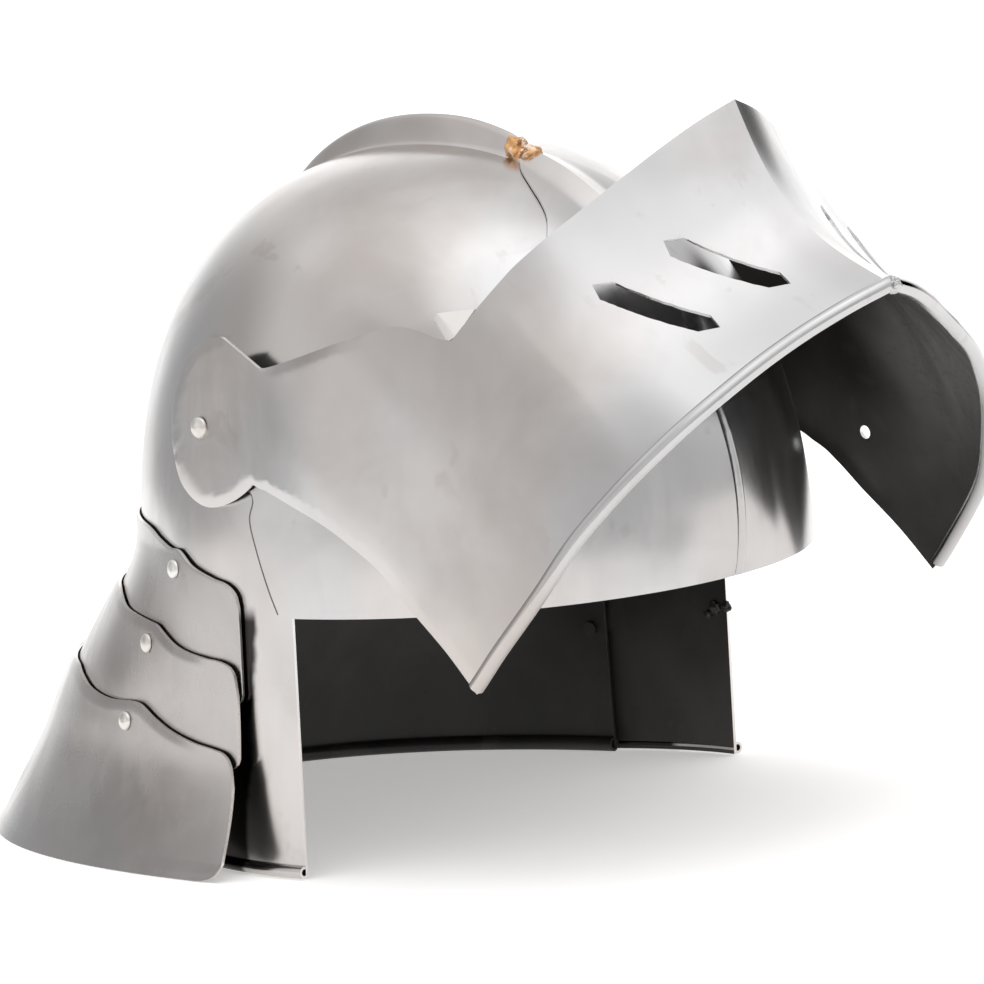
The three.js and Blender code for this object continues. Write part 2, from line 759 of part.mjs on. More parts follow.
// Each rivet: where its head sits, the way it points, the plates it goes through and its grip on them.
function rivetPlan(side) {
  const rivets = lames.map((lame, i) => ({
    name: `lame_rivet_${i + 1}`,
    seat: rivetSeat(lame, side),
    through: [lame.name, i === 0 ? 'skull' : lames[i - 1].name],
    grip: lameStep + lameWall + burrSlack,
  }));
  rivets[0].grip += skullWall;
  const panelX = bowlSide(neckRivetY, neckRivetZ);
  const out = new THREE.Vector3(panelX / skullHalfWidth ** 2, neckRivetY / skullHalfLength ** 2, 0);
  out.normalize();
  rivets.push({
    name: 'neck_rivet',
    seat: {
      point: new THREE.Vector3(side * panelX, neckRivetY, neckRivetZ),
      out: new THREE.Vector3(side * out.x, out.y, 0),
    },
    through: ['skull', 'back_plate'],
    grip: skullWall + nestGap + plateWall + burrSlack * 2,
  });
  return rivets;
}

const sides = [['right', -1], ['left', 1]];
const rivetBore = 14;
const rivetSides = 8;
const pivotSides = 12;
const smallRivets = [];
for (const [label, side] of sides) {
  for (const rivet of rivetPlan(side)) {
    const bore = cylinderAt(rivet.seat.point, rivet.seat.out, rivetShank + fitGap, rivetBore, rivetSides);
    for (const plate of rivet.through) plates[plate] = plates[plate].subtract(bore);
    smallRivets.push({ ...rivet, name: `${rivet.name}_${label}` });
  }
  const pivotSeat = new THREE.Vector3(side * visorHalfWidth, pivotY, pivotZ);
  const pivotBore = cylinderAt(pivotSeat, new THREE.Vector3(1, 0, 0), pivotShank + fitGap, sideBore);
  plates.skull = plates.skull.subtract(pivotBore);
}

for (const [name, solid] of Object.entries(plates)) {
  addPiece(body, name, toGeometry(solid), name === 'back_plate' ? darkSteel : steel);
}

for (const rivet of smallRivets) {
  const geometry = rivetGeometry(
    rivetHeadRadius, rivetHeadRise, rivetShank, rivet.grip, burrRadius, rivetSides,
  );
  const mesh = addPiece(body, rivet.name, geometry, rivetSteel);
  mesh.quaternion.setFromUnitVectors(new THREE.Vector3(0, 1, 0), rivet.seat.out);
  mesh.position.copy(rivet.seat.point).addScaledVector(rivet.seat.out, rivetLift);
}

const visorPivot = new THREE.Group();
visorPivot.position.set(0, pivotY, pivotZ);
visorPivot.rotation.x = -THREE.MathUtils.degToRad(raisedAngle);
body.add(visorPivot);
addPiece(visorPivot, 'visor', makeVisor(), steel);

// The pivot's head sits on the lobe, which leans, and its burr lies against the inside of the skull.
const pivotSeatX = visorHalfWidth * readTable(visorSides, pivotZ, 'share') + fitGap + lobeLeanRise;
const pivotGrip = pivotSeatX - bowlSide(pivotY, pivotZ) + skullWall + pivotSlack;
for (const [label, side] of sides) {
  const geometry = rivetGeometry(
    pivotHeadRadius, pivotHeadRise, pivotShank, pivotGrip, pivotBurrRadius, pivotSides,
  );
  const rivet = addPiece(body, `pivot_rivet_${label}`, geometry, rivetSteel);
  rivet.quaternion.setFromUnitVectors(new THREE.Vector3(0, 1, 0), new THREE.Vector3(side, 0, 0));
  rivet.position.set(side * pivotSeatX, pivotY, pivotZ);
}

// The origin is under the middle of the whole, on the lower edge.
body.updateMatrixWorld(true);
const size = new THREE.Box3().setFromObject(body, true);
body.position.set(0, -(size.min.y + size.max.y) / 2, -size.min.z);

export default sallet;
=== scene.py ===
"""The sallet's finished look: smooth sheet steel, rolled edges, rivets, braze and their finishes."""

import math

import bpy
from mathutils import Matrix, Vector, noise
from mathutils.geometry import delaunay_2d_cdt


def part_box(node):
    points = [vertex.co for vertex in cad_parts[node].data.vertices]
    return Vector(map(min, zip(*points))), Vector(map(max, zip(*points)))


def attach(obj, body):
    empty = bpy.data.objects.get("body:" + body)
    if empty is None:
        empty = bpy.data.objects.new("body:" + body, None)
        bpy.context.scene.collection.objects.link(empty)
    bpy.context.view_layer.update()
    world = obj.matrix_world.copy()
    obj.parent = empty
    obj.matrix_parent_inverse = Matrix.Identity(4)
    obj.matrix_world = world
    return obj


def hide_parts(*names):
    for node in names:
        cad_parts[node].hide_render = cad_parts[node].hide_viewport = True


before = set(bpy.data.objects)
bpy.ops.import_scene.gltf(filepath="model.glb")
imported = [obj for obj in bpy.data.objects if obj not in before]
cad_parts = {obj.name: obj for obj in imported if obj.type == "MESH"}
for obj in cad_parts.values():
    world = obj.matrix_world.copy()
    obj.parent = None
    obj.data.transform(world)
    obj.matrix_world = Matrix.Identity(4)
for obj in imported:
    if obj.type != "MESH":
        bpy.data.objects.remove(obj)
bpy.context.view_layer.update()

# Sizes are millimetres in the helmet's own frame: x = y = 0 is the middle of the skull, z = 0 its foot.
MM = 0.001

# Sheet
SKULL_WALL = 1.4
BROW_WALL = 1.1
PLATE_WALL = 1.3
LAME_WALL = 1.2
VISOR_WALL = 1.5
ROLL_WALL = 0.9
SEAT_GAP = 0.3
EDGE_ROUND = 0.3
VISOR_EDGE_ROUND = 0.5
SHARP_EDGE = 50
SEAM_REACH = 0.02

# Skull
HALF_WIDTH = 107.5
HALF_LENGTH = 124.5
RIM = 90.5
DOME = 146.8
FULLNESS = 2.37
PANEL_FRONT = -18
PANEL_BACK = 50
PANEL_LEAN = 6
BACK_EDGE = 70
PANEL_ROLL = 2.1

# Comb
COMB_FRONT = -47
COMB_BACK = 84
COMB_RISE = 9.5
COMB_WIDTH = 15

# Brow plate
BROW_RIDGE = 6
BROW_RIDGE_WIDTH = 26
BROW_RIDGE_HEIGHT = 75
BROW_PEAK = 41
BROW_PEAK_WIDTH = 29
BROW_PEAK_DEPTH = 39

# Tail and neck plate
LAME_STEP = 2.4
RIVET_RADIUS = 3.4
RIVET_RISE = 1.6
RIVET_BURR = 2.6
BACK_FRONT = 39
BACK_TOP = 95
BACK_REACH = 168
BACK_BEND = 64
BACK_ROLL = 2.6
BACK_ROLL_INSET = 2
NEST_GAP = 1

# Visor, drawn lowered and then raised about its pivots
PIVOT_Y = 19
PIVOT_Z = 154.6
RAISED = 45
VISOR_HALF = 113.8
VISOR_REACH = 169
VISOR_TOP = 108
VISOR_FOOT = 19
VISOR_TIP = 3.4
VISOR_BATTER = 5
KEEL_HOLLOW = 11.5
KEEL_SPREAD = 85
VISOR_ROLL = 2.7
LOBE_RADIUS = 28
LOBE_BACK = -6.5
LOBE_UP = -5.1
PIVOT_RADIUS = 3.8
PIVOT_RISE = 1.9
PIVOT_BURR = 5
SIGHT_WIDTH = 6.8
SIGHT_LENGTH = 43
SIGHT_TAPER = 5
SIGHT_LEAN = 26
SIGHTS = ((29.1, 60), (53, 60))
SIDE_HOLE = (-30, 55, 2.4)

# The photograph's camera: its turn round the helmet, height angle, tilt, distance, aim and lens
CAMERA_TURN = -43.965
CAMERA_RISE = 8.729
CAMERA_ROLL = 5.783
CAMERA_DISTANCE = 2920
CAMERA_AIM_HEIGHT = 120
CAMERA_ASIDE = 8.11
CAMERA_ABOVE = -5.915
CAMERA_LENS = 307.02
CAMERA_SENSOR = 36
CAMERA_FAR = 60

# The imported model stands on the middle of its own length, so its pivot tells how far it was moved.
pivot_low, pivot_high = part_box("pivot_rivet_left")
SHIFT_Y = (pivot_low.y + pivot_high.y) / 2 / MM - PIVOT_Y


def between(value, low, high):
    return min(max(value, low), high)


def lerp(a, b, share):
    return a + (b - a) * share


def smooth_step(value):
    value = between(value, 0, 1)
    return value * value * (3 - 2 * value)


def to_frame(point):
    return Vector((point[0], point[1] + SHIFT_Y, point[2])) * MM


def raise_up(point):
    """Turns a point of the lowered visor about its pivots to its raised place."""
    angle = -math.radians(RAISED)
    y = point[1] - PIVOT_Y
    z = point[2] - PIVOT_Z
    return Vector((
        point[0],
        PIVOT_Y + y * math.cos(angle) - z * math.sin(angle),
        PIVOT_Z + y * math.sin(angle) + z * math.cos(angle),
    ))


def read_rows(rows, at):
    """Straight lines through rows of (place, value)."""
    if at <= rows[0][0]:
        return rows[0][1]
    for (low, first), (high, second) in zip(rows, rows[1:]):
        if at <= high:
            return lerp(first, second, (at - low) / (high - low))
    return rows[-1][1]


def column(rows, index):
    """One column of a table, with its row numbers as places."""
    return tuple((i, row[index]) for i, row in enumerate(rows))


def row_slope(rows, index):
    low = max(index - 1, 0)
    high = min(index + 1, len(rows) - 1)
    return (rows[high][1] - rows[low][1]) / (rows[high][0] - rows[low][0])


def read_smooth(rows, at):
    """A smooth curve through rows of (place, value)."""
    at = between(at, rows[0][0], rows[-1][0])
    index = 0
    while index < len(rows) - 2 and at > rows[index + 1][0]:
        index += 1
    low, first = rows[index]
    high, second = rows[index + 1]
    span = high - low
    t = (at - low) / span
    start = row_slope(rows, index) * span
    end = row_slope(rows, index + 1) * span
    return (
        first * (2 * t**3 - 3 * t**2 + 1)
        + start * (t**3 - 2 * t**2 + t)
        + second * (3 * t**2 - 2 * t**3)
        + end * (t**3 - t**2)
    )


# Mesh helpers


def take(piece):
    bpy.ops.object.select_all(action="DESELECT")
    piece.select_set(True)
    bpy.context.view_layer.objects.active = piece


def bent_grid(name, columns, rows, surface):
    """A grid primitive bent to a surface given over its two shares."""
    bpy.ops.object.select_all(action="DESELECT")
    bpy.ops.mesh.primitive_grid_add(x_subdivisions=columns, y_subdivisions=rows, size=2)
    piece = bpy.context.object
    piece.name = name
    for vertex in piece.data.vertices:
        u = (vertex.co.x + 1) / 2
        v = (vertex.co.y + 1) / 2
        vertex.co = to_frame(surface(u, v))
    return piece


def edit_whole(piece, operator, **settings):
    """Runs one of the mesh operators on all of a piece."""
    take(piece)
    bpy.ops.object.mode_set(mode="EDIT")
    bpy.ops.mesh.select_all(action="SELECT")
    operator(**settings)
    bpy.ops.object.mode_set(mode="OBJECT")


def close_seams(piece, reach=SEAM_REACH):
    edit_whole(piece, bpy.ops.mesh.remove_doubles, threshold=reach * MM)


def face_away(piece, inside):
    """Turns an open sheet so that its faces look away from a point inside it."""
    centre = to_frame(inside)
    total = 0
    for face in piece.data.polygons:
        total += (face.center - centre).dot(face.normal) * face.area
    if total < 0:
        edit_whole(piece, bpy.ops.mesh.flip_normals)


def even_normals(piece):
    edit_whole(piece, bpy.ops.mesh.normals_make_consistent, inside=False)


def apply_last(piece):
    take(piece)
    bpy.ops.object.modifier_apply(modifier=piece.modifiers[-1].name)


def add_wall(piece, wall):
    """Gives a painted sheet its thickness: its inside takes the second paint, its cut edge the third."""
    take(piece)
    bpy.ops.object.modifier_add(type="SOLIDIFY")
    sheet = piece.modifiers[-1]
    sheet.thickness = wall * MM
    sheet.offset = -1
    sheet.use_even_offset = True
    sheet.use_quality_normals = True
    sheet.material_offset = 1
    sheet.material_offset_rim = 2
    apply_last(piece)


def round_edges(piece, width=EDGE_ROUND):
    take(piece)
    bpy.ops.object.modifier_add(type="BEVEL")
    bevel = piece.modifiers[-1]
    bevel.width = width * MM
    bevel.segments = 2
    bevel.limit_method = "ANGLE"
    bevel.angle_limit = math.radians(SHARP_EDGE)
    apply_last(piece)


def smooth_faces(piece, angle=35):
    take(piece)
    bpy.ops.object.shade_smooth_by_angle(angle=math.radians(angle))
    bpy.ops.object.modifier_add(type="WEIGHTED_NORMAL")
    piece.modifiers[-1].keep_sharp = True
    apply_last(piece)


def mirror_across(piece):
    take(piece)
    bpy.ops.object.modifier_add(type="MIRROR")
    mirror = piece.modifiers[-1]
    mirror.use_axis = (True, False, False)
    mirror.merge_threshold = SEAM_REACH * MM
    apply_last(piece)


def paint(piece, *materials):
    for material in materials:
        piece.data.materials.append(material)


def thin_out(points, step):
    """Keeps the corners of a dense outline and the points between them at least a step apart."""
    kept = [points[0][0]]
    for place, corner in points[1:]:
        gap = math.dist(place, kept[-1])
        if gap >= step or (corner and gap > step * 0.3):
            kept.append(place)
        elif corner:
            kept[-1] = place
    return kept


def inside_loop(place, loop):
    x, y = place
    hit = False
    for (x0, y0), (x1, y1) in zip(loop, loop[1:] + loop[:1]):
        if (y0 > y) != (y1 > y) and x < x0 + (y - y0) * (x1 - x0) / (y1 - y0):
            hit = not hit
    return hit


def cut_sheet(name, outline, holes, step, surface):
    """A sheet cut from a flat pattern, with a fold line at pattern x = 0, then bent to its surface."""
    points = []
    edges = []
    for loop in [outline] + holes:
        start = len(points)
        points.extend(loop)
        edges.extend((start + i, start + (i + 1) % len(loop)) for i in range(len(loop)))
    border = {}
    for x, y in points:
        border.setdefault((round(x / step), round(y / step)), []).append((x, y))

    def near_border(place):
        i = round(place[0] / step)
        j = round(place[1] / step)
        for di in (-1, 0, 1):
            for dj in (-1, 0, 1):
                for other in border.get((i + di, j + dj), ()):
                    if math.dist(place, other) < step * 0.6:
                        return True
        return False

    low_x = min(x for x, _ in outline)
    low_y = min(y for _, y in outline)
    high_y = max(y for _, y in outline)
    across = math.ceil(-low_x / step)
    up = math.ceil((high_y - low_y) / step)
    line = []
    for j in range(1, up):
        y = low_y + j * step
        crossings = []
        for i in range(-across, across + 1):
            place = (i * step, y)
            if near_border(place) or not inside_loop(place, outline):
                continue
            if any(inside_loop(place, hole) for hole in holes):
                continue
            crossings.append(place)
            if i == 0:
                line.append(len(points) + len(crossings) - 1)
        points.extend(crossings)
    ends = [i for i, (x, _) in enumerate(outline) if abs(x) < 1e-6]
    ends.sort(key=lambda i: outline[i][1])
    line = [ends[0]] + line + [ends[-1]]
    edges.extend(zip(line, line[1:]))
    flat = [Vector(place) for place in points]
    result = delaunay_2d_cdt(flat, edges, [], 1, 1e-5)
    places = [tuple(co) for co in result[0]]
    faces = []
    for face in result[2]:
        middle = tuple(sum(places[i][k] for i in face) / len(face) for k in (0, 1))
        if not any(inside_loop(middle, hole) for hole in holes):
            faces.append(face)
    mesh = bpy.data.meshes.new(name)
    mesh.from_pydata([to_frame(surface(x, y)) for x, y in places], [], faces)
    mesh.update()
    piece = bpy.data.objects.new(name, mesh)
    bpy.context.collection.objects.link(piece)
    return piece


def rolled_tube(name, path, radius, around=20, level=(0, 0, 1)):
    """A hollow rolled edge along a row of points, open at both ends."""
    count = len(path) - 1

    def surface(u, v):
        place = between(u * count, 0, count)
        index = min(int(place), count - 1)
        centre = path[index].lerp(path[index + 1], place - index)
        before = path[max(index - 1, 0)]
        after = path[min(index + 2, count)]
        along = (after - before).normalized()
        side = along.cross(Vector(level)).normalized()
        over = side.cross(along)
        angle = v * math.tau
        return centre + (side * math.cos(angle) + over * math.sin(angle)) * radius

    piece = bent_grid(name, count, around, surface)
    close_seams(piece)
    even_normals(piece)
    return piece


# Shapes


def bowl_point(angle, v, grow):
    """Angle 0 is the front and grows to the helmet's left, v is 0 at the rim and 1 at the top."""
    height = DOME + grow
    z = RIM * (1 + v) if v <= 0 else RIM + height * math.sin(v * math.pi / 2)
    rise = between((z - RIM) / height, 0, 1)
    share = (1 - rise**FULLNESS) ** (1 / FULLNESS)
    x = (HALF_WIDTH + grow) * share * math.sin(angle)
    y = -(HALF_LENGTH + grow) * share * math.cos(angle)
    if math.cos(angle) > 0:
        crest = math.sin(between((z - RIM) / BROW_RIDGE_HEIGHT, 0, 1) * math.pi) ** 0.7
        y -= BROW_RIDGE * crest * max(0, 1 - abs(x) / BROW_RIDGE_WIDTH) ** 1.3
    return Vector((x, y, z))


def bowl_height(x, y):
    """Height of the bowl over a place, without its ridge."""
    share = between(math.hypot(x / HALF_WIDTH, y / HALF_LENGTH), 0, 1)
    return RIM + DOME * (1 - share**FULLNESS) ** (1 / FULLNESS)


TAIL_TOP = 125
TAIL_FLARE_WIDTH = 11.7
TAIL_FLARE_REACH = 79.7
SQUARENESS = 0.5
SQUARE_HEIGHT = 110

# Heights are shares of the tail's top, and the rest are shares of its flare beyond the skull.
TAIL_WIDE = ((-0.016, 1.06), (0, 1), (0.16, 0.487), (0.28, 0.265), (0.4, 0.179), (0.52, 0.162),
             (0.64, 0.162), (0.76, 0.171), (0.84, 0.162), (1, 0.051))
TAIL_LONG = ((-0.016, 1.01), (0, 1), (0.16, 0.837), (0.28, 0.701), (0.4, 0.583), (0.52, 0.445),
             (0.64, 0.274), (0.76, 0.1), (0.84, 0.026), (1, 0.006))


def tail_point(angle, z, grow):
    """Angle 0 is the helmet's left and pi its right, with the middle of the back between."""
    power = 2 / (2 + SQUARENESS * between(1 - z / SQUARE_HEIGHT, 0, 1))
    cosine = math.cos(angle)
    sine = max(math.sin(angle), 0)
    width = HALF_WIDTH + TAIL_FLARE_WIDTH * read_smooth(TAIL_WIDE, z / TAIL_TOP) + grow
    reach = HALF_LENGTH + TAIL_FLARE_REACH * read_smooth(TAIL_LONG, z / TAIL_TOP) + grow
    x = width * math.copysign(abs(cosine) ** power, cosine)
    y = reach * sine**power
    return Vector((x, y, z))


# The visor from above, by stations round it: shares of its half width and of its reach.
PLAN_ACROSS = ((0, 0), (1, 0.125), (2, 0.24), (3, 0.35), (4, 0.47), (5, 0.595), (6, 0.7), (7, 0.8),
               (8, 0.89), (9, 0.955), (10, 0.987), (11, 1), (12, 1), (13, 1), (14, 1))
PLAN_AHEAD = ((0, 1), (1, 0.962), (2, 0.915), (3, 0.861), (4, 0.8), (5, 0.733), (6, 0.66), (7, 0.575),
              (8, 0.472), (9, 0.36), (10, 0.24), (11, 0.12), (12, 0), (13, -0.12), (14, -0.3))

# How the visor narrows with height: heights, and shares of its half width
VISOR_LEAN = ((-20, 1.002), (0, 1), (90, 0.982), (119, 0.966), (154, 0.927), (200, 0.872))

# The lower edge: places ahead as shares of the reach, and the share of its rise from tip to keel
VISOR_LOW = ((-0.12, 0), (0.11, 0), (0.17, 0.02), (0.345, 0.1), (0.47, 0.36), (0.575, 0.53),
             (0.73, 0.78), (0.86, 0.99), (1, 1))


def visor_point(station, z):
    """Point of the lowered visor: station 0 is the keel, and 12 the side beside the pivot."""
    at = abs(station)
    height = between((z - VISOR_FOOT) / (VISOR_TOP - VISOR_FOOT), 0, 1)
    x = VISOR_HALF * read_smooth(PLAN_ACROSS, at)
    ahead = read_smooth(PLAN_AHEAD, at)
    spread = max(0, 1 - (x / KEEL_SPREAD) ** 2)
    hollow = KEEL_HOLLOW * math.sin(math.pi * height) * spread
    batter = VISOR_BATTER * smooth_step(height) * smooth_step(ahead * 2) * (1 - spread * 0.6)
    y = -VISOR_REACH * ahead + hollow + batter
    return Vector((math.copysign(1, station) * x * read_smooth(VISOR_LEAN, z), y, z))


def visor_low(y):
    """Height of the visor's lower edge at a place along the helmet."""
    return lerp(VISOR_TIP, VISOR_FOOT, read_smooth(VISOR_LOW, between(-y / VISOR_REACH, -0.12, 1)))


def solve(find, goal, low, high):
    """The place between low and high where a rising measure reaches its goal."""
    for _ in range(40):
        middle = (low + high) / 2
        if find(middle) < goal:
            low = middle
        else:
            high = middle
    return (low + high) / 2


# Finishes


def new_group(name, inputs, outputs):
    group = bpy.data.node_groups.new(name, "ShaderNodeTree")
    for label, kind, value in inputs:
        socket = group.interface.new_socket(label, in_out="INPUT", socket_type=kind)
        socket.default_value = value
    for label, kind in outputs:
        group.interface.new_socket(label, in_out="OUTPUT", socket_type=kind)
    return group


def add_node(tree, kind, **settings):
    item = tree.nodes.new(kind)
    for key, value in settings.items():
        setattr(item, key, value)
    return item


def noise_node(tree, vector, scale, detail=3.0, rough=0.5, warp=0.0):
    item = add_node(tree, "ShaderNodeTexNoise")
    item.inputs["Scale"].default_value = scale
    item.inputs["Detail"].default_value = detail
    item.inputs["Roughness"].default_value = rough
    item.inputs["Distortion"].default_value = warp
    tree.links.new(vector, item.inputs["Vector"])
    return item.outputs["Fac"]


def range_node(tree, value, from_low, from_high, to_low, to_high):
    item = add_node(tree, "ShaderNodeMapRange")
    item.interpolation_type = "SMOOTHSTEP"
    labels = ("From Min", "From Max", "To Min", "To Max")
    for label, number in zip(labels, (from_low, from_high, to_low, to_high)):
        item.inputs[label].default_value = number
    tree.links.new(value, item.inputs["Value"])
    return item.outputs["Result"]


def math_node(tree, kind, first, second):
    item = add_node(tree, "ShaderNodeMath", operation=kind)
    for socket, value in zip(item.inputs, (first, second)):
        if isinstance(value, (int, float)):
            socket.default_value = value
        else:
            tree.links.new(value, socket)
    return item.outputs[0]


def mix_node(tree, share, first, second):
    item = add_node(tree, "ShaderNodeMix", data_type="RGBA")
    for socket, value in ((item.inputs[0], share), (item.inputs[6], first), (item.inputs[7], second)):
        if isinstance(value, (int, float, tuple)):
            socket.default_value = value
        else:
            tree.links.new(value, socket)
    return item.outputs[2]


def mapped(tree, vector, scale, turn=(0, 0, 0)):
    item = add_node(tree, "ShaderNodeMapping")
    item.inputs["Scale"].default_value = scale
    item.inputs["Rotation"].default_value = turn
    tree.links.new(vector, item.inputs["Vector"])
    return item.outputs["Vector"]


WAVE_HEIGHT = 1.8


def make_polish_group():
    """Wiped smears and fine polishing lines in the gloss, and the slow waviness of hand-worked sheet."""
    group = new_group(
        "hand_polish",
        [("Scratch", "NodeSocketFloat", 1.0), ("Waviness", "NodeSocketFloat", 1.0)],
        [("Height", "NodeSocketFloat"), ("Smear", "NodeSocketFloat")],
    )
    source = add_node(group, "NodeGroupInput")
    target = add_node(group, "NodeGroupOutput")
    place = add_node(group, "ShaderNodeTexCoord").outputs["Object"]
    up_lines = noise_node(group, mapped(group, place, (900, 900, 60)), 1, 2)
    cross_lines = noise_node(group, mapped(group, place, (700, 80, 700), (0.5, 0.3, 0.2)), 1, 2)
    lines = math_node(group, "MAXIMUM", up_lines, cross_lines)
    lines = range_node(group, lines, 0.56, 0.8, 0, 0.05)
    lines = math_node(group, "MULTIPLY", lines, source.outputs["Scratch"])
    smear = noise_node(group, mapped(group, place, (40, 26, 9), (0.2, 0.4, 0)), 1, 5, 0.62, 0.6)
    smear = math_node(group, "ADD", smear, lines)
    waves = noise_node(group, place, 20, 1, 0.4)
    waves = math_node(group, "MULTIPLY", waves, source.outputs["Waviness"])
    height = math_node(group, "MULTIPLY", waves, WAVE_HEIGHT * MM)
    group.links.new(height, target.inputs["Height"])
    group.links.new(smear, target.inputs["Smear"])
    return group


WARM_CAST = (1, 0.972, 0.955, 1)
COOL_CAST = (0.968, 0.98, 1, 1)


def make_tarnish_group():
    """Cloudy patches where handling and heat have dulled and tinted the steel."""
    group = new_group(
        "handled_tarnish",
        [
            ("Clean", "NodeSocketColor", (0.6, 0.6, 0.6, 1)),
            ("Stained", "NodeSocketColor", (0.4, 0.38, 0.36, 1)),
            ("Amount", "NodeSocketFloat", 1.0),
        ],
        [("Color", "NodeSocketColor"), ("Mask", "NodeSocketFloat")],
    )
    source = add_node(group, "NodeGroupInput")
    target = add_node(group, "NodeGroupOutput")
    place = add_node(group, "ShaderNodeTexCoord").outputs["Object"]
    cloud = range_node(group, noise_node(group, place, 14, 4, 0.55, 0.4), 0.42, 0.72, 0, 1)
    freckle = range_node(group, noise_node(group, place, 160, 3, 0.6), 0.66, 0.78, 0, 0.5)
    wiped = noise_node(group, mapped(group, place, (70, 40, 34), (0.5, 0.2, 0.4)), 1, 3, 0.6, 0.5)
    wiped = range_node(group, wiped, 0.58, 0.68, 0, 0.7)
    mask = math_node(group, "MAXIMUM", cloud, freckle)
    mask = math_node(group, "MAXIMUM", mask, wiped)
    mask = math_node(group, "MULTIPLY", mask, source.outputs["Amount"])
    color = mix_node(group, mask, source.outputs["Clean"], source.outputs["Stained"])
    cast = noise_node(group, mapped(group, place, (9, 9, 6), (0.3, 0, 0.5)), 1, 2)
    cast = range_node(group, cast, 0.38, 0.62, 0, 1)
    cast = mix_node(group, cast, WARM_CAST, COOL_CAST)
    tinted = add_node(group, "ShaderNodeMix", data_type="RGBA", blend_type="MULTIPLY")
    tinted.inputs[0].default_value = 1
    group.links.new(color, tinted.inputs[6])
    group.links.new(cast, tinted.inputs[7])
    group.links.new(tinted.outputs[2], target.inputs["Color"])
    group.links.new(mask, target.inputs["Mask"])
    return group


POLISH = make_polish_group()
TARNISH = make_tarnish_group()


def new_material(name):
    material = bpy.data.materials.new(name)
    material.use_nodes = True
    tree = material.node_tree
    shader = tree.nodes["Principled BSDF"]
    return material, tree, shader


def use_group(tree, group, **values):
    item = add_node(tree, "ShaderNodeGroup")
    item.node_tree = group
    for label, value in values.items():
        item.inputs[label].default_value = value
    return item


def add_bump(tree, shader, height):
    bump = add_node(tree, "ShaderNodeBump")
    bump.inputs["Strength"].default_value = 1
    bump.inputs["Distance"].default_value = 1
    tree.links.new(height, bump.inputs["Height"])
    tree.links.new(bump.outputs["Normal"], shader.inputs["Normal"])


def steel_finish(name, clean, stained, amount, roughness, scratch, waviness):
    """Bare steel: tinted by handling, with smears and scratches in its gloss and slow waves in its face."""
    material, tree, shader = new_material(name)
    shader.inputs["Metallic"].default_value = 1
    tarnish = use_group(tree, TARNISH, Clean=clean, Stained=stained, Amount=amount)
    polish = use_group(tree, POLISH, Scratch=scratch, Waviness=waviness)
    gloss = range_node(tree, polish.outputs["Smear"], 0.35, 0.7, roughness[0], roughness[1])
    tree.links.new(tarnish.outputs["Color"], shader.inputs["Base Color"])
    tree.links.new(gloss, shader.inputs["Roughness"])
    add_bump(tree, shader, polish.outputs["Height"])
    return material


# Painted shade on the neck panels beside the tail, in the gap where the lames shade them: where its line
# meets the foot, how far the line leans forward for each millimetre of height, its top, and how softly it
# ends.
SHADE_FOOT = 17.5
SHADE_LEAN = 0.2
SHADE_TOP = 88
SHADE_FADE = 7
SHADE_SOFT = 1.8
SHADE_RAGGED = 1.4
PAINTED_SHADE = (0.03, 0.026, 0.025, 1)


def add_painted_shade(material):
    """Painted shade: a dark band behind a leaning line, laid over the colour a material has."""
    tree = material.node_tree
    shader = tree.nodes["Principled BSDF"]
    place = add_node(tree, "ShaderNodeTexCoord").outputs["Object"]
    split = add_node(tree, "ShaderNodeSeparateXYZ")
    tree.links.new(place, split.inputs[0])
    ragged = noise_node(tree, place, 60, 3)
    ragged = range_node(tree, ragged, 0.3, 0.7, -SHADE_RAGGED * MM, SHADE_RAGGED * MM)
    behind = math_node(tree, "ADD", split.outputs["Y"], ragged)
    behind = math_node(tree, "ADD", behind, math_node(tree, "MULTIPLY", split.outputs["Z"], SHADE_LEAN))
    foot = (SHADE_FOOT + SHIFT_Y) * MM
    mask = range_node(tree, behind, foot - SHADE_SOFT * MM, foot + SHADE_SOFT * MM, 0, 1)
    below = range_node(tree, split.outputs["Z"], SHADE_TOP * MM, (SHADE_TOP + SHADE_FADE) * MM, 1, 0)
    mask = math_node(tree, "MULTIPLY", mask, below)
    clean = shader.inputs["Base Color"].links[0].from_socket
    dark = mix_node(tree, mask, clean, PAINTED_SHADE)
    tree.links.new(dark, shader.inputs["Base Color"])


STEEL = (0.55, 0.54, 0.535, 1)
WORN_STEEL = (0.455, 0.425, 0.408, 1)
polished_steel = steel_finish(
    "polished_steel", STEEL, WORN_STEEL,
    amount=0.7, roughness=(0.17, 0.27), scratch=1, waviness=1)
skull_steel = steel_finish(
    "skull_steel", STEEL, WORN_STEEL,
    amount=0.7, roughness=(0.17, 0.27), scratch=1, waviness=1)
# The skull's steel carries painted shade on its neck panels beside the tail lames.
add_painted_shade(skull_steel)
tail_steel = steel_finish(
    "tail_steel", (0.43, 0.422, 0.42, 1), (0.35, 0.33, 0.32, 1),
    amount=0.8, roughness=(0.19, 0.3), scratch=1, waviness=0.8)
# Cut edges: filed steel, made brighter than the faces as a painted highlight line along every edge.
cut_edge_highlight = steel_finish(
    "cut_edge_painted_highlight", (0.82, 0.81, 0.8, 1), (0.62, 0.6, 0.58, 1),
    amount=0.5, roughness=(0.22, 0.38), scratch=2, waviness=0.3)
# Painted reflection: the notch tab's steel is made near white to stand for the bright sky it reflects.
tab_painted_reflection = steel_finish(
    "tab_painted_reflection", (0.93, 0.92, 0.91, 1), (0.84, 0.82, 0.8, 1),
    amount=0.4, roughness=(0.48, 0.6), scratch=3, waviness=0.2)
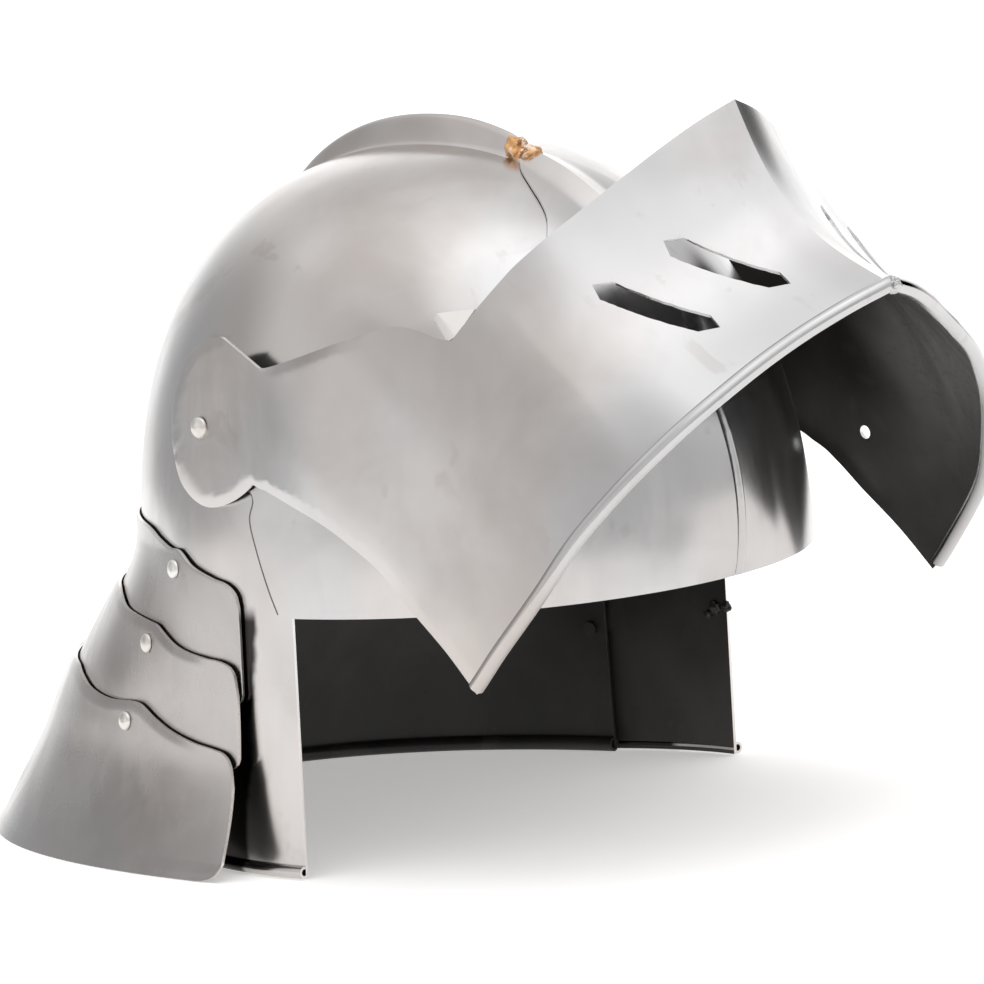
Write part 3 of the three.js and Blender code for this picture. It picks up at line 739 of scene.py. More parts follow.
# Dark seam colour: scale along the brow plate's edge, together with painted shadow of the gap under it.
seam_scale_and_shade = steel_finish(
    "seam_scale_and_shade", (0.2, 0.185, 0.175, 1), (0.12, 0.105, 0.1, 1),
    amount=1, roughness=(0.35, 0.5), scratch=2, waviness=0.3)
rivet_steel = steel_finish(
    "rivet_steel", (0.74, 0.73, 0.71, 1), (0.5, 0.47, 0.44, 1),
    amount=0.8, roughness=(0.22, 0.36), scratch=3, waviness=0.6)


OIL_BLACK = (0.022, 0.02, 0.019, 1)
WORN_BLACK = (0.05, 0.045, 0.041, 1)


def make_blackened_steel():
    """Dark oil-burnt scale with a soft sheen, as inside the helmet."""
    material, tree, shader = new_material("blackened_steel")
    shader.inputs["Metallic"].default_value = 0.25
    shader.inputs["Specular IOR Level"].default_value = 0.6
    tarnish = use_group(tree, TARNISH, Clean=OIL_BLACK, Stained=WORN_BLACK, Amount=0.8)
    polish = use_group(tree, POLISH, Scratch=4, Waviness=1)
    gloss = range_node(tree, polish.outputs["Smear"], 0.35, 0.7, 0.3, 0.5)
    tree.links.new(tarnish.outputs["Color"], shader.inputs["Base Color"])
    tree.links.new(gloss, shader.inputs["Roughness"])
    add_bump(tree, shader, polish.outputs["Height"])
    return material


BRASS = (0.68, 0.38, 0.17, 1)
FILED_BRASS = (0.92, 0.76, 0.64, 1)
BURNT_BRASS = (0.32, 0.15, 0.06, 1)
BRASS_GRAIN = 0.2


def make_braze():
    """Brass filler: brown where it burnt, pale copper where it was filed."""
    material, tree, shader = new_material("brass_braze")
    shader.inputs["Metallic"].default_value = 0.75
    place = add_node(tree, "ShaderNodeTexCoord").outputs["Object"]
    filed = range_node(tree, noise_node(tree, place, 150, 2, 0.5), 0.4, 0.56, 0, 1)
    burnt = noise_node(tree, mapped(tree, place, (1, 1, 1), (0.4, 0, 0.9)), 260, 3)
    burnt = range_node(tree, burnt, 0.56, 0.66, 0, 1)
    color = mix_node(tree, filed, BRASS, FILED_BRASS)
    color = mix_node(tree, burnt, color, BURNT_BRASS)
    tree.links.new(color, shader.inputs["Base Color"])
    gloss = range_node(tree, filed, 0, 1, 0.5, 0.36)
    tree.links.new(gloss, shader.inputs["Roughness"])
    grain = math_node(tree, "MULTIPLY", noise_node(tree, place, 300, 2), BRASS_GRAIN * MM)
    add_bump(tree, shader, grain)
    return material


blackened_steel = make_blackened_steel()
brass_braze = make_braze()


# Skull bowl with its neck panels

# Columns of the bowl's grid from front to back with the angle reached at each, and its rows
# with the share of height: -1 is the foot, 0 the rim and 1 the top.
BOWL_KNOTS = ((0, 0), (66, math.acos(-PANEL_FRONT / HALF_LENGTH)),
              (90, math.acos(-PANEL_BACK / HALF_LENGTH)), (138, math.pi))
BOWL_ROWS = ((0, -1), (32, BACK_EDGE / RIM - 1), (42, 0), (116, 1))


def make_bowl():
    front_angle = BOWL_KNOTS[1][1]
    back_angle = BOWL_KNOTS[2][1]
    lean = math.acos(-(PANEL_FRONT + PANEL_LEAN) / HALF_LENGTH) - front_angle

    def surface(u, v):
        angle = read_rows(BOWL_KNOTS, u * BOWL_KNOTS[-1][0])
        height = read_rows(BOWL_ROWS, v * BOWL_ROWS[-1][0])
        if height < 0 and angle >= front_angle - 0.001:
            fade = between((back_angle - angle) / (back_angle - front_angle), 0, 1)
            angle += lean * -height * fade
        return bowl_point(angle, height, 0)

    piece = bent_grid("skull_bowl", BOWL_KNOTS[-1][0], BOWL_ROWS[-1][0], surface)
    rim_height = RIM * MM
    # The sheet below the rim is kept only where a neck panel stands.
    take(piece)
    bpy.ops.object.mode_set(mode="EDIT")
    bpy.ops.mesh.select_all(action="DESELECT")
    bpy.ops.object.mode_set(mode="OBJECT")
    for face in piece.data.polygons:
        y = face.center.y / MM - SHIFT_Y
        panel_front = PANEL_FRONT + PANEL_LEAN * (1 - face.center.z / rim_height)
        under_brow = face.center.z < rim_height and y < panel_front
        under_back = face.center.z < BACK_EDGE * MM and y > PANEL_BACK
        face.select = under_brow or under_back
    bpy.ops.object.mode_set(mode="EDIT")
    bpy.ops.mesh.delete(type="FACE")
    bpy.ops.object.mode_set(mode="OBJECT")
    mirror_across(piece)
    close_seams(piece)
    face_away(piece, (0, 0, RIM))
    paint(piece, skull_steel, blackened_steel, cut_edge_highlight)
    add_wall(piece, SKULL_WALL)
    round_edges(piece)
    smooth_faces(piece)
    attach(piece, "helmet")
    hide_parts("skull")


ROLL_PROUD = 0.6
ROLL_SHORT = 1


def make_panel_roll(side, label):
    """The rolled bottom edge of a neck panel."""
    front = PANEL_FRONT + PANEL_LEAN
    back = PANEL_BACK - ROLL_SHORT
    path = []
    for i in range(41):
        y = lerp(front, back, i / 40)
        x = side * (HALF_WIDTH + ROLL_PROUD) * math.sqrt(1 - (y / HALF_LENGTH) ** 2)
        path.append(Vector((x, y, PANEL_ROLL)))
    piece = rolled_tube("panel_roll_" + label, path, PANEL_ROLL)
    paint(piece, skull_steel, blackened_steel, cut_edge_highlight)
    add_wall(piece, ROLL_WALL)
    smooth_faces(piece)
    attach(piece, "helmet")


# Comb

# Shares of the comb's rise and of its width, from its front end to its rear
COMB_RISES = ((0, 0.3), (0.03, 0.62), (0.08, 0.8), (0.3, 1.05), (0.55, 1), (0.8, 0.72), (0.94, 0.33),
              (1, 0.02))
COMB_WIDTHS = ((0, 0.7), (0.08, 0.9), (0.3, 1), (0.55, 1), (0.8, 0.9), (1, 0.55))
COMB_SUNK = 0.3
COMB_POINTED = 1.15


def make_comb():
    def surface(u, v):
        y = lerp(COMB_FRONT, COMB_BACK, u)
        across = 2 * v - 1
        x = COMB_WIDTH / 2 * read_smooth(COMB_WIDTHS, u) * across
        bell = ((1 + math.cos(math.pi * across)) / 2) ** COMB_POINTED
        rise = COMB_RISE * read_smooth(COMB_RISES, u) * bell
        return Vector((x, y, bowl_height(x, y) - COMB_SUNK + rise))

    piece = bent_grid("comb", 150, 32, surface)
    face_away(piece, (0, 0, RIM))
    paint(piece, polished_steel)
    smooth_faces(piece, 60)
    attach(piece, "helmet")


# Brow plate

# The plate's rear edge from the rim up: its place along the skull and its height over the rim
BROW_SIDE = ((-14, 0), (-10.5, 9), (-6, 23), (-3.5, 33), (-5, 41), (4, 50), (6, 62), (-10, 92), (-50, 108),
             (-80, 117))

# The plate's peak over the crown, in shares of the peak's width and depth
BROW_WEDGE = ((-1, -1), (-0.78, -0.86), (-0.66, -0.71), (-0.53, -0.5), (-0.34, -0.26), (0, 0))

BROW_OUTLINE_STEP = 1.6
BROW_PATTERN_STEP = 2.1
CREST_HALF_WIDTH = 9
CREST_RISE = 2.6
CREST_START = 55
CREST_RUN = 30
ANGLE_PITCH = 1.9
MERIDIAN = 190


def bowl_pattern(angle, v):
    """A place of the bowl laid flat, in about millimetres round it and up it."""
    return (math.degrees(angle) * ANGLE_PITCH, v * MERIDIAN)


def height_share(z, grow):
    """How far up the bowl's arc a height is."""
    return math.asin(between((z - RIM) / (DOME + grow), 0, 1)) * 2 / math.pi


def make_brow_plate():
    grow = BROW_WALL + SEAT_GAP

    def side_place(y, z):
        v = height_share(z, grow)
        angle = solve(lambda a: bowl_point(a, v, grow).y, y, 0.05, math.pi - 0.01)
        return bowl_pattern(angle, v)

    def wedge_place(x, y):
        angle = math.atan2(x / HALF_WIDTH, -y / HALF_LENGTH)
        share = math.hypot(x / (HALF_WIDTH + grow), y / (HALF_LENGTH + grow))
        rise = (1 - share**FULLNESS) ** (1 / FULLNESS)
        return bowl_pattern(angle, math.asin(rise) * 2 / math.pi)

    half = [bowl_pattern(0, 0)]
    half_width = math.acos(-BROW_SIDE[0][0] / HALF_LENGTH)
    for i in range(1, 90):
        half.append(bowl_pattern(half_width * i / 90, 0))
    heights = column(BROW_SIDE, 1)
    places = column(BROW_SIDE, 0)
    for i in range((len(BROW_SIDE) - 1) * 10):
        half.append(side_place(read_smooth(places, i / 10), RIM + read_smooth(heights, i / 10)))
    wedge_x = column(BROW_WEDGE, 0)
    wedge_y = column(BROW_WEDGE, 1)
    for i in range((len(BROW_WEDGE) - 1) * 6 + 1):
        x = -read_smooth(wedge_x, i / 6) * BROW_PEAK_WIDTH
        y = -BROW_PEAK + read_smooth(wedge_y, i / 6) * BROW_PEAK_DEPTH
        half.append(wedge_place(x, y))
    half[-1] = (0, half[-1][1])
    dense = [(place, False) for place in half]
    dense[0] = (half[0], True)
    dense[-1] = (half[-1], True)
    kept = thin_out(dense, BROW_OUTLINE_STEP)
    outline = kept + [(-x, y) for x, y in reversed(kept[1:-1])]

    def surface(x, y):
        place = bowl_point(math.radians(x / ANGLE_PITCH), between(y / MERIDIAN, 0, 1), grow)
        crest = max(0, 1 - abs(place.x) / CREST_HALF_WIDTH) ** 1.3
        crest *= CREST_RISE * smooth_step((place.z - RIM - CREST_START) / CREST_RUN)
        away = Vector((0, place.y, place.z - RIM)).normalized()
        return place + away * crest

    piece = cut_sheet("brow_plate", outline, [], BROW_PATTERN_STEP, surface)
    face_away(piece, (0, 0, RIM))
    paint(piece, polished_steel, blackened_steel, cut_edge_highlight)
    add_wall(piece, BROW_WALL)
    round_edges(piece)
    smooth_faces(piece)
    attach(piece, "helmet")


# Tail plates

# Heights are shares of the tail's top: a plate's lower edge at its side and at its back, and its
# upper edge by degrees from the side. A rivet's place along is a share of the skull's half length.
LAMES = (
    {
        "name": "tail_lame_1", "grow": 0, "low": 0.464, "low_back": 0.672, "rivet": (0.341, 0.832),
        "edge": ((2, 0.745), (2.5, 0.78), (4.5, 0.808), (8, 0.822), (14, 0.85), (17.2, 0.879), (18.6, 0.888),
                 (21.5, 0.888), (26, 0.905), (31, 0.926), (38, 0.933), (60, 0.936), (90, 0.936)),
    },
    {
        "name": "tail_lame_2", "grow": LAME_STEP, "low": 0.288, "low_back": 0.48, "rivet": (0.474, 0.62),
        "edge": ((2, 0.5), (2.4, 0.56), (4, 0.59), (8, 0.602), (12, 0.614), (15, 0.63), (18, 0.655),
                 (20.5, 0.675), (22.5, 0.68), (27, 0.688), (34, 0.7), (40, 0.722), (46, 0.735),
                 (90, 0.735)),
    },
    {
        "name": "tail_lame_3", "grow": LAME_STEP * 2, "low": 0, "low_back": 0, "rivet": (0.57, 0.4),
        "edge": ((2, 0.25), (2.4, 0.31), (3.2, 0.34), (4.5, 0.352), (8, 0.367), (12, 0.392),
                 (15.5, 0.422), (18.6, 0.452), (20.5, 0.458), (27, 0.452), (34, 0.464), (40, 0.488),
                 (46, 0.508), (90, 0.508)),
    },
)
LAME_FRONT = 2
LAME_BACK = 90
LAME_EVEN = 0.25
LAME_CROWDING = 2.2
HEM_HEIGHT = 4.5
HEM_STEP = 0.5
HEM_FADE = 1.2
EDGE_TURN = 0.4
EDGE_TURN_DEPTH = 3
EDGE_TURN_START = 6
CORNER_RISE = 5
CORNER_SPAN = 2.2


def make_lame(lame):
    """A tail plate, with closer columns near its rounded corners, an upper edge turned in towards
    the plate under it, and on the lowest plate a hem."""
    edge = lame["edge"]
    span = LAME_BACK - LAME_FRONT

    def surface(u, v):
        share = 2 * min(u, 1 - u)
        share = LAME_EVEN * share + (1 - LAME_EVEN) * share**LAME_CROWDING
        from_corner = LAME_FRONT + span * share
        angle = math.radians(from_corner if u <= 0.5 else 180 - from_corner)
        top = read_smooth(edge, from_corner)
        low = lerp(lame["low"], lame["low_back"], (from_corner - LAME_FRONT) / span)
        near_corner = between(1 - (from_corner - LAME_FRONT) / CORNER_SPAN, 0, 1)
        corner = CORNER_RISE * (1 - math.sqrt(1 - near_corner**2))
        z = lerp(low * TAIL_TOP + corner, top * TAIL_TOP, v)
        near_top = smooth_step(1 - (top * TAIL_TOP - z) / EDGE_TURN_DEPTH)
        near_top *= smooth_step(from_corner / EDGE_TURN_START - 1)
        grow = lame["grow"] - EDGE_TURN * near_top * (lame["grow"] > 0)
        if lame["low"] == 0:
            grow += HEM_STEP * smooth_step((HEM_HEIGHT - z) / HEM_FADE + 0.5)
        return tail_point(angle, z, grow)

    piece = bent_grid(lame["name"] + "_plate", 240, 40, surface)
    face_away(piece, (0, 40, 60))
    paint(piece, tail_steel, blackened_steel, cut_edge_highlight)
    add_wall(piece, LAME_WALL)
    round_edges(piece)
    smooth_faces(piece)
    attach(piece, "helmet")
    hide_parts(lame["name"])


def lame_seat(lame, side):
    """Where a tail rivet meets its plate, and the way it points out."""
    y = lame["rivet"][0] * HALF_LENGTH
    z = lame["rivet"][1] * TAIL_TOP
    angle = solve(lambda a: tail_point(a, z, lame["grow"]).y, y, 0.01, math.pi / 2)
    place = tail_point(angle, z, lame["grow"])
    around = tail_point(angle + 0.02, z, lame["grow"]) - tail_point(angle - 0.02, z, lame["grow"])
    upward = tail_point(angle, z + 2, lame["grow"]) - tail_point(angle, z - 2, lame["grow"])
    out = around.cross(upward).normalized()
    return Vector((side * place.x, place.y, z)), Vector((side * out.x, out.y, out.z))


# Neck plate


def back_plate_reach(z):
    """How far back the neck plate reaches: it flares below its bend and nests in the skull above."""
    return lerp(BACK_REACH, HALF_LENGTH - SKULL_WALL - NEST_GAP, between(z / BACK_BEND, 0, 1))


def back_plate_point(angle, z, grow):
    reach = back_plate_reach(z)
    panel = (HALF_WIDTH - SKULL_WALL) * math.sqrt(1 - (PANEL_BACK / (HALF_LENGTH - SKULL_WALL)) ** 2)
    width = (panel - NEST_GAP) / math.sqrt(1 - (PANEL_BACK / reach) ** 2)
    return Vector(((width + grow) * math.cos(angle), (reach + grow) * math.sin(angle), z))


def make_back_plate():
    def surface(u, v):
        z = read_rows(((0, 0.4), (0.68, BACK_BEND), (1, BACK_TOP)), v)
        first = math.asin(BACK_FRONT / back_plate_reach(z))
        return back_plate_point(lerp(first, math.pi - first, u), z, 0)

    piece = bent_grid("neck_plate", 120, 25, surface)
    face_away(piece, (0, 40, 50))
    paint(piece, blackened_steel, blackened_steel, blackened_steel)
    add_wall(piece, PLATE_WALL)
    round_edges(piece)
    smooth_faces(piece)
    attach(piece, "helmet")
    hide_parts("back_plate")
    first = math.asin(BACK_FRONT / back_plate_reach(BACK_ROLL))
    path = []
    for i in range(81):
        angle = lerp(first, math.pi - first, i / 80)
        path.append(back_plate_point(angle, BACK_ROLL, -BACK_ROLL_INSET))
    roll = rolled_tube("neck_plate_roll", path, BACK_ROLL)
    paint(roll, blackened_steel, blackened_steel, blackened_steel)
    add_wall(roll, ROLL_WALL)
    smooth_faces(roll)
    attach(roll, "helmet")


# Visor

STATION_PITCH = 18
VISOR_PATTERN_STEP = 2.2
VISOR_OUTLINE_STEP = 1.7
TIP_Y = -13.5

# The lowered visor's outline from the side, as places along the helmet and heights
VISOR_CORNERS = {
    "front": ((-143, 105), (-109, 101), (-91, 96.5), (-84.5, 95)),
    "notch": ((-84.5, 95), (-81.5, 99.5), (-78.8, 105.5), (-73.7, 113), (-67, 117.7), (-53.4, 126),
              (-36.3, 135.6), (-23, 143.6), (-19.8, 146.4)),
    "rear": ((10.5, 119), (-2.5, 91), (-8.2, 74), (-11.5, 60), (-12.4, 42), (-13.8, 22),
             (TIP_Y, VISOR_TIP)),
}

# Edge of the lobe: angle in degrees, and distance from its middle in shares of its radius.
LOBE_EDGE = ((-89, 0.955), (-73, 0.94), (-53, 0.965), (-31, 1.04), (-16, 1.065), (0, 1.06), (12, 1.01),
             (27, 0.95), (43, 0.91), (62, 0.905), (80, 0.915), (97, 0.955), (112, 0.99), (127, 1.03),
             (145, 1.1))


def smooth_path(points, parts):
    """Points along a smooth curve through a few places."""
    ys = column(points, 0)
    zs = column(points, 1)
    count = (len(points) - 1) * parts
    return [(read_smooth(ys, i / parts), read_smooth(zs, i / parts)) for i in range(count + 1)]


def visor_station(y, z):
    """The station of a place on the visor's side."""
    return solve(lambda s: visor_point(s, z).y, y, 0, 14)


def visor_front_top(station):
    """Height of the upper edge between the keel and the first point of its outline."""
    z = VISOR_TOP
    for _ in range(6):
        z = read_rows(((-VISOR_REACH, VISOR_TOP),) + VISOR_CORNERS["front"], visor_point(station, z).y)
    return z


def visor_half_outline():
    """Outline of one half in the flat pattern, from the top of the keel round to its foot."""
    dense = []
    last = visor_station(*VISOR_CORNERS["front"][-1])
    for i in range(120):
        station = last * i / 120
        dense.append(((station * STATION_PITCH, visor_front_top(station)), i == 0))
    sections = [smooth_path(VISOR_CORNERS["notch"], 12)]
    lobe = []
    for i in range(60):
        degrees = lerp(LOBE_EDGE[-1][0], LOBE_EDGE[0][0], i / 59)
        radius = LOBE_RADIUS * read_smooth(LOBE_EDGE, degrees)
        angle = math.radians(degrees)
        y = PIVOT_Y + LOBE_BACK + radius * math.cos(angle)
        z = PIVOT_Z + LOBE_UP + radius * math.sin(angle)
        lobe.append((y, z))
    sections.append(lobe)
    sections.append(smooth_path(VISOR_CORNERS["rear"], 24))
    for section in sections:
        for i, (y, z) in enumerate(section):
            corner = i in (0, len(section) - 1)
            dense.append(((visor_station(y, z) * STATION_PITCH, z), corner))
    tip = visor_station(TIP_Y, VISOR_TIP)
    for i in range(1, 161):
        station = tip * (1 - i / 160)
        z = visor_low(visor_point(station, VISOR_FOOT).y)
        dense.append(((station * STATION_PITCH, z), i == 160))
    return thin_out(dense, VISOR_OUTLINE_STEP)


SIGHT_STEP = 1.6
SIGHT_JAG = 0.22


def sight_loop(across, up, side):
    """A slanting slot with pointed ends and edges left a little jagged by the saw."""
    half = SIGHT_LENGTH / 2
    wide = SIGHT_WIDTH / 2
    shoulder = half - SIGHT_TAPER
    lean = math.radians(SIGHT_LEAN)
    corners = ((0, half), (wide, shoulder), (wide, -shoulder), (0, -half), (-wide, -shoulder),
               (-wide, shoulder))
    loop = []
    for first, second in zip(corners, corners[1:] + corners[:1]):
        count = max(2, round(math.dist(first, second) / SIGHT_STEP))
        for i in range(count):
            a = lerp(first[0], second[0], i / count)
            b = lerp(first[1], second[1], i / count)
            jag = SIGHT_JAG * noise.noise(Vector((a * 0.9 + across, b * 0.9, side * 3)))
            x = across + (a + jag) * math.cos(lean) + b * math.sin(lean)
            z = up - (a + jag) * math.sin(lean) + b * math.cos(lean)
            station = solve(lambda s: visor_point(s, z).x, x, 0, 11)
            loop.append((side * station * STATION_PITCH, z))
    return loop


def side_hole_loop():
    """The small hole drilled in the visor's left side."""
    y, z, radius = SIDE_HOLE
    loop = []
    for i in range(16):
        angle = math.tau * i / 16
        height = z + radius * math.sin(angle)
        loop.append((visor_station(y + radius * math.cos(angle), height) * STATION_PITCH, height))
    return loop


# How deep the turned edges of the arms and of the rest are, how far they turn in, and over what
# lengths the arms' turn fades in and out
LIP_DEPTH = 3.4
LIP_TURN = 1.1
LIP_FADE_IN = 9
LIP_FADE_OUT = 6
RIM_DEPTH = 2.6
RIM_TURN = 0.9
ARM_EDGE = VISOR_CORNERS["notch"][4:]
REAR_EDGE = tuple((z, y) for y, z in reversed(VISOR_CORNERS["rear"]))


def lobe_depth(y, z):
    """How far inside the lobe's edge a place of the lowered visor is."""
    ahead = y - PIVOT_Y - LOBE_BACK
    above = z - PIVOT_Z - LOBE_UP
    degrees = math.degrees(math.atan2(above, ahead))
    if not LOBE_EDGE[0][0] < degrees < LOBE_EDGE[-1][0]:
        return RIM_DEPTH
    return LOBE_RADIUS * read_smooth(LOBE_EDGE, degrees) - math.hypot(ahead, above)


def visor_surface(x, z):
    """The visor's face, with its cut edges turned in a little."""
    place = visor_point(x / STATION_PITCH, z)
    turn = 0
    arm_front = ARM_EDGE[0][0]
    arm_back = ARM_EDGE[-1][0]
    if arm_front < place.y < arm_back:
        depth = read_rows(ARM_EDGE, place.y) - z
        fade = smooth_step((place.y - arm_front) / LIP_FADE_IN)
        fade *= smooth_step((arm_back - place.y) / LIP_FADE_OUT)
        turn = LIP_TURN * smooth_step(1 - depth / LIP_DEPTH) * fade
    if place.y > REAR_EDGE[0][1] - RIM_DEPTH and z < REAR_EDGE[-1][0]:
        depth = read_smooth(REAR_EDGE, z) - place.y
        turn = max(turn, RIM_TURN * smooth_step(1 - depth / RIM_DEPTH))
    elif place.y > arm_back:
        depth = lobe_depth(place.y, z)
        turn = max(turn, RIM_TURN * smooth_step(1 - depth / RIM_DEPTH))
    place.x -= math.copysign(turn, place.x)
    return raise_up(place)


def make_visor():
    half = visor_half_outline()
    outline = half + [(-x, z) for x, z in reversed(half[1:-1])]
    holes = []
    for across, up in SIGHTS:
        for side in (-1, 1):
            holes.append(sight_loop(across, up, side))
    holes.append(side_hole_loop())
    piece = cut_sheet("visor_sheet", outline, holes, VISOR_PATTERN_STEP, visor_surface)
    face_away(piece, raise_up((0, -40, 80)))
    paint(piece, polished_steel, blackened_steel, cut_edge_highlight)
    add_wall(piece, VISOR_WALL)
    round_edges(piece, VISOR_EDGE_ROUND)
    smooth_faces(piece)
    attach(piece, "visor")
    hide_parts("visor")


VISOR_ROLL_END = 11.2


def make_visor_roll():
    """The rolled lower edge of the visor, from one side round the keel to the other."""
    path = []
    for i in range(-140, 141):
        station = VISOR_ROLL_END * i / 140
        foot = visor_point(station, VISOR_FOOT)
        z = visor_low(foot.y) + VISOR_ROLL * 0.4
        path.append(raise_up(visor_point(station, z)))
    piece = rolled_tube("visor_roll", path, VISOR_ROLL, 24)
    paint(piece, polished_steel, blackened_steel, cut_edge_highlight)
    add_wall(piece, ROLL_WALL)
    smooth_faces(piece, 50)
    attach(piece, "visor")


# Rivets

SHANK = 1.5
BURR_RISE = 0.8
RIVET_SIDES = 28
HAMMERED = 0.05


def turned_piece(name, profile, seat, out):
    """A part turned about an axis, from rows of (distance from it, height along it)."""
    side = out.cross(Vector((0, 0, 1))).normalized()
    over = side.cross(out)
    radii = column(profile, 0)
    heights = column(profile, 1)
    last = len(profile) - 1

    def surface(u, v):
        angle = u * math.tau
        row = round(v * last)
        radius = read_rows(radii, row)
        height = read_rows(heights, row)
        dent = 1 + HAMMERED * noise.noise(Vector((math.cos(angle), math.sin(angle), height)) + seat)
        ring = (side * math.cos(angle) + over * math.sin(angle)) * radius * dent
        return seat + ring + out * height * (dent if height > 0 else 1)

    piece = bent_grid(name, RIVET_SIDES, last, surface)
    close_seams(piece, 0.005)
    even_normals(piece)
    return piece


def make_rivet(name, seat, out, radius, rise, burr):
    """A hammered dome, its shank, and the burr that spreads it on the inside."""
    low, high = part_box(name)
    inner = min(abs(low.x), abs(high.x)) / MM
    grip = (abs(seat.x) - inner) / abs(out.x) - BURR_RISE
    under = -SEAT_GAP * 0.4
    end = -grip - BURR_RISE
    profile = []
    for i in range(9):
        angle = math.pi / 2 * i / 8
        profile.append((radius * math.sin(angle), rise * math.cos(angle) ** 0.8 if i < 8 else 0))
    profile += [(radius * 0.97, under), (SHANK, under), (SHANK, -grip), (burr, -grip),
                (burr * 0.9, -grip - BURR_RISE * 0.6), (burr * 0.4, end), (0, end)]
    piece = turned_piece(name + "_turned", profile, seat + out * SEAT_GAP * 0.5, out)
    paint(piece, rivet_steel)
    smooth_faces(piece, 40)
    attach(piece, "helmet")
    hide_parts(name)


def make_rivets():
    for label, side in (("left", 1), ("right", -1)):
        for i, lame in enumerate(LAMES):
            seat, out = lame_seat(lame, side)
            name = "lame_rivet_" + str(i + 1) + "_" + label
            make_rivet(name, seat, out, RIVET_RADIUS, RIVET_RISE, RIVET_BURR)
        lobe_x = VISOR_HALF * read_smooth(VISOR_LEAN, PIVOT_Z) + SEAT_GAP
        seat = Vector((side * lobe_x, PIVOT_Y, PIVOT_Z))
        make_rivet("pivot_rivet_" + label, seat, Vector((side, 0, 0)), PIVOT_RADIUS, PIVOT_RISE, PIVOT_BURR)


def blacken_neck_rivets():
    """The neck rivets keep their own meshes and share the scale of the sheets they hold."""
    for name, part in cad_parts.items():
        if name.startswith("neck_rivet"):
            part.data.materials.clear()
            part.data.materials.append(blackened_steel)


# Braze and weld


def make_blob(name, centre, radii, rough, material, body):
    """A lump of metal that ran and froze."""
    bpy.ops.object.select_all(action="DESELECT")
    bpy.ops.mesh.primitive_ico_sphere_add(subdivisions=5, radius=1)
    piece = bpy.context.object
    piece.name = name
    middle = Vector(centre)
    for vertex in piece.data.vertices:
        lump = 1 + rough * noise.noise(vertex.co * 1.7 + middle) + rough * 0.15 * noise.noise(vertex.co * 5)
        grown = Vector((vertex.co.x * radii[0], vertex.co.y * radii[1], vertex.co.z * radii[2])) * lump
        vertex.co = to_frame(middle + grown)
    paint(piece, material)
    smooth_faces(piece, 80)
    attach(piece, body)
    return piece


# Brass at the comb's front end: place along the helmet, rise over the bowl, and half sizes
BRAZE_RUNS = (
    ("braze_run", -41, 1.8, (4.8, 3.8, 5)),
    ("braze_spot", -46.5, 1.4, (5, 4.8, 3.8)),
)


def make_braze_runs():
    for name, y, rise, radii in BRAZE_RUNS:
        centre = (-1, y, bowl_height(0, y) + rise)
        make_blob(name, centre, radii, 0.3, brass_braze, "helmet")


# Beads inside the left neck panel: place along the helmet, height, and half size
NECK_WELDS = ((-9.5, 53.5, 2.4), (-15.4, 54, 1.9), (-6, 51, 1.5))


def make_welds():
    inside = HALF_WIDTH - SKULL_WALL
    for i, (y, z, size) in enumerate(NECK_WELDS):
        name = "neck_weld_" + str(i + 1)
        weld = make_blob(name, (inside - 0.8, y, z), (1.4, size, size), 0.35, blackened_steel, "helmet")
    foot = raise_up(visor_point(0, VISOR_FOOT))
    weld = make_blob("keel_weld", foot, (2.4, 3, 2.8), 0.35, polished_steel, "visor")


SEAM_RADIUS = 0.4
SEAM_BEHIND = 1.9
SEAM_TOP_ROW = 6


def make_brow_seam():
    """The dark line where the edge of the brow plate meets the skull: some scale, and painted shadow of the
    gap under the edge.
    """
    heights = column(BROW_SIDE, 1)
    places = column(BROW_SIDE, 0)
    for side, label in ((1, "left"), (-1, "right")):
        path = []
        for i in range(1, SEAM_TOP_ROW * 10):
            z = RIM + read_smooth(heights, i / 10)
            y = read_smooth(places, i / 10) + SEAM_BEHIND
            v = height_share(z, 0)
            angle = solve(lambda a: bowl_point(a, v, 0).y, y, 0.05, math.pi - 0.01)
            point = bowl_point(angle, v, -SEAM_RADIUS * 0.6)
            path.append(Vector((side * point.x, point.y, point.z)))
        piece = rolled_tube("brow_seam_" + label, path, SEAM_RADIUS, 8, (1, 0, 0))
        paint(piece, seam_scale_and_shade)
        smooth_faces(piece, 80)
        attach(piece, "helmet")


RIDGE_WELD = 1.8
RIDGE_LOW = 1
RIDGE_HIGH = 80


def make_ridge_weld():
    """The welded and filed seam that joins the two halves of the brow plate."""
    path = []
    for i in range(61):
        z = RIM + lerp(RIDGE_LOW, RIDGE_HIGH, i / 60)
        point = bowl_point(0, height_share(z, BROW_WALL + SEAT_GAP), BROW_WALL + SEAT_GAP)
        point.y += RIDGE_WELD * 0.35 + 0.15 * noise.noise(Vector((0, 0, i * 0.4)))
        path.append(point)
    piece = rolled_tube("brow_ridge_weld", path, RIDGE_WELD, 16, (1, 0, 0))
    paint(piece, polished_steel)
    smooth_faces(piece, 80)
    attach(piece, "helmet")


TAB_WALL = 1.1

# Corners of the bent tab at the notch, on the lowered visor's left side
TAB_CORNERS = ((93, -86.5, 95.1), (87.4, -95.4, 97.8), (89.6, -83.2, 108), (89.6, -80.4, 108.4),
               (93.5, -82.1, 96.5))


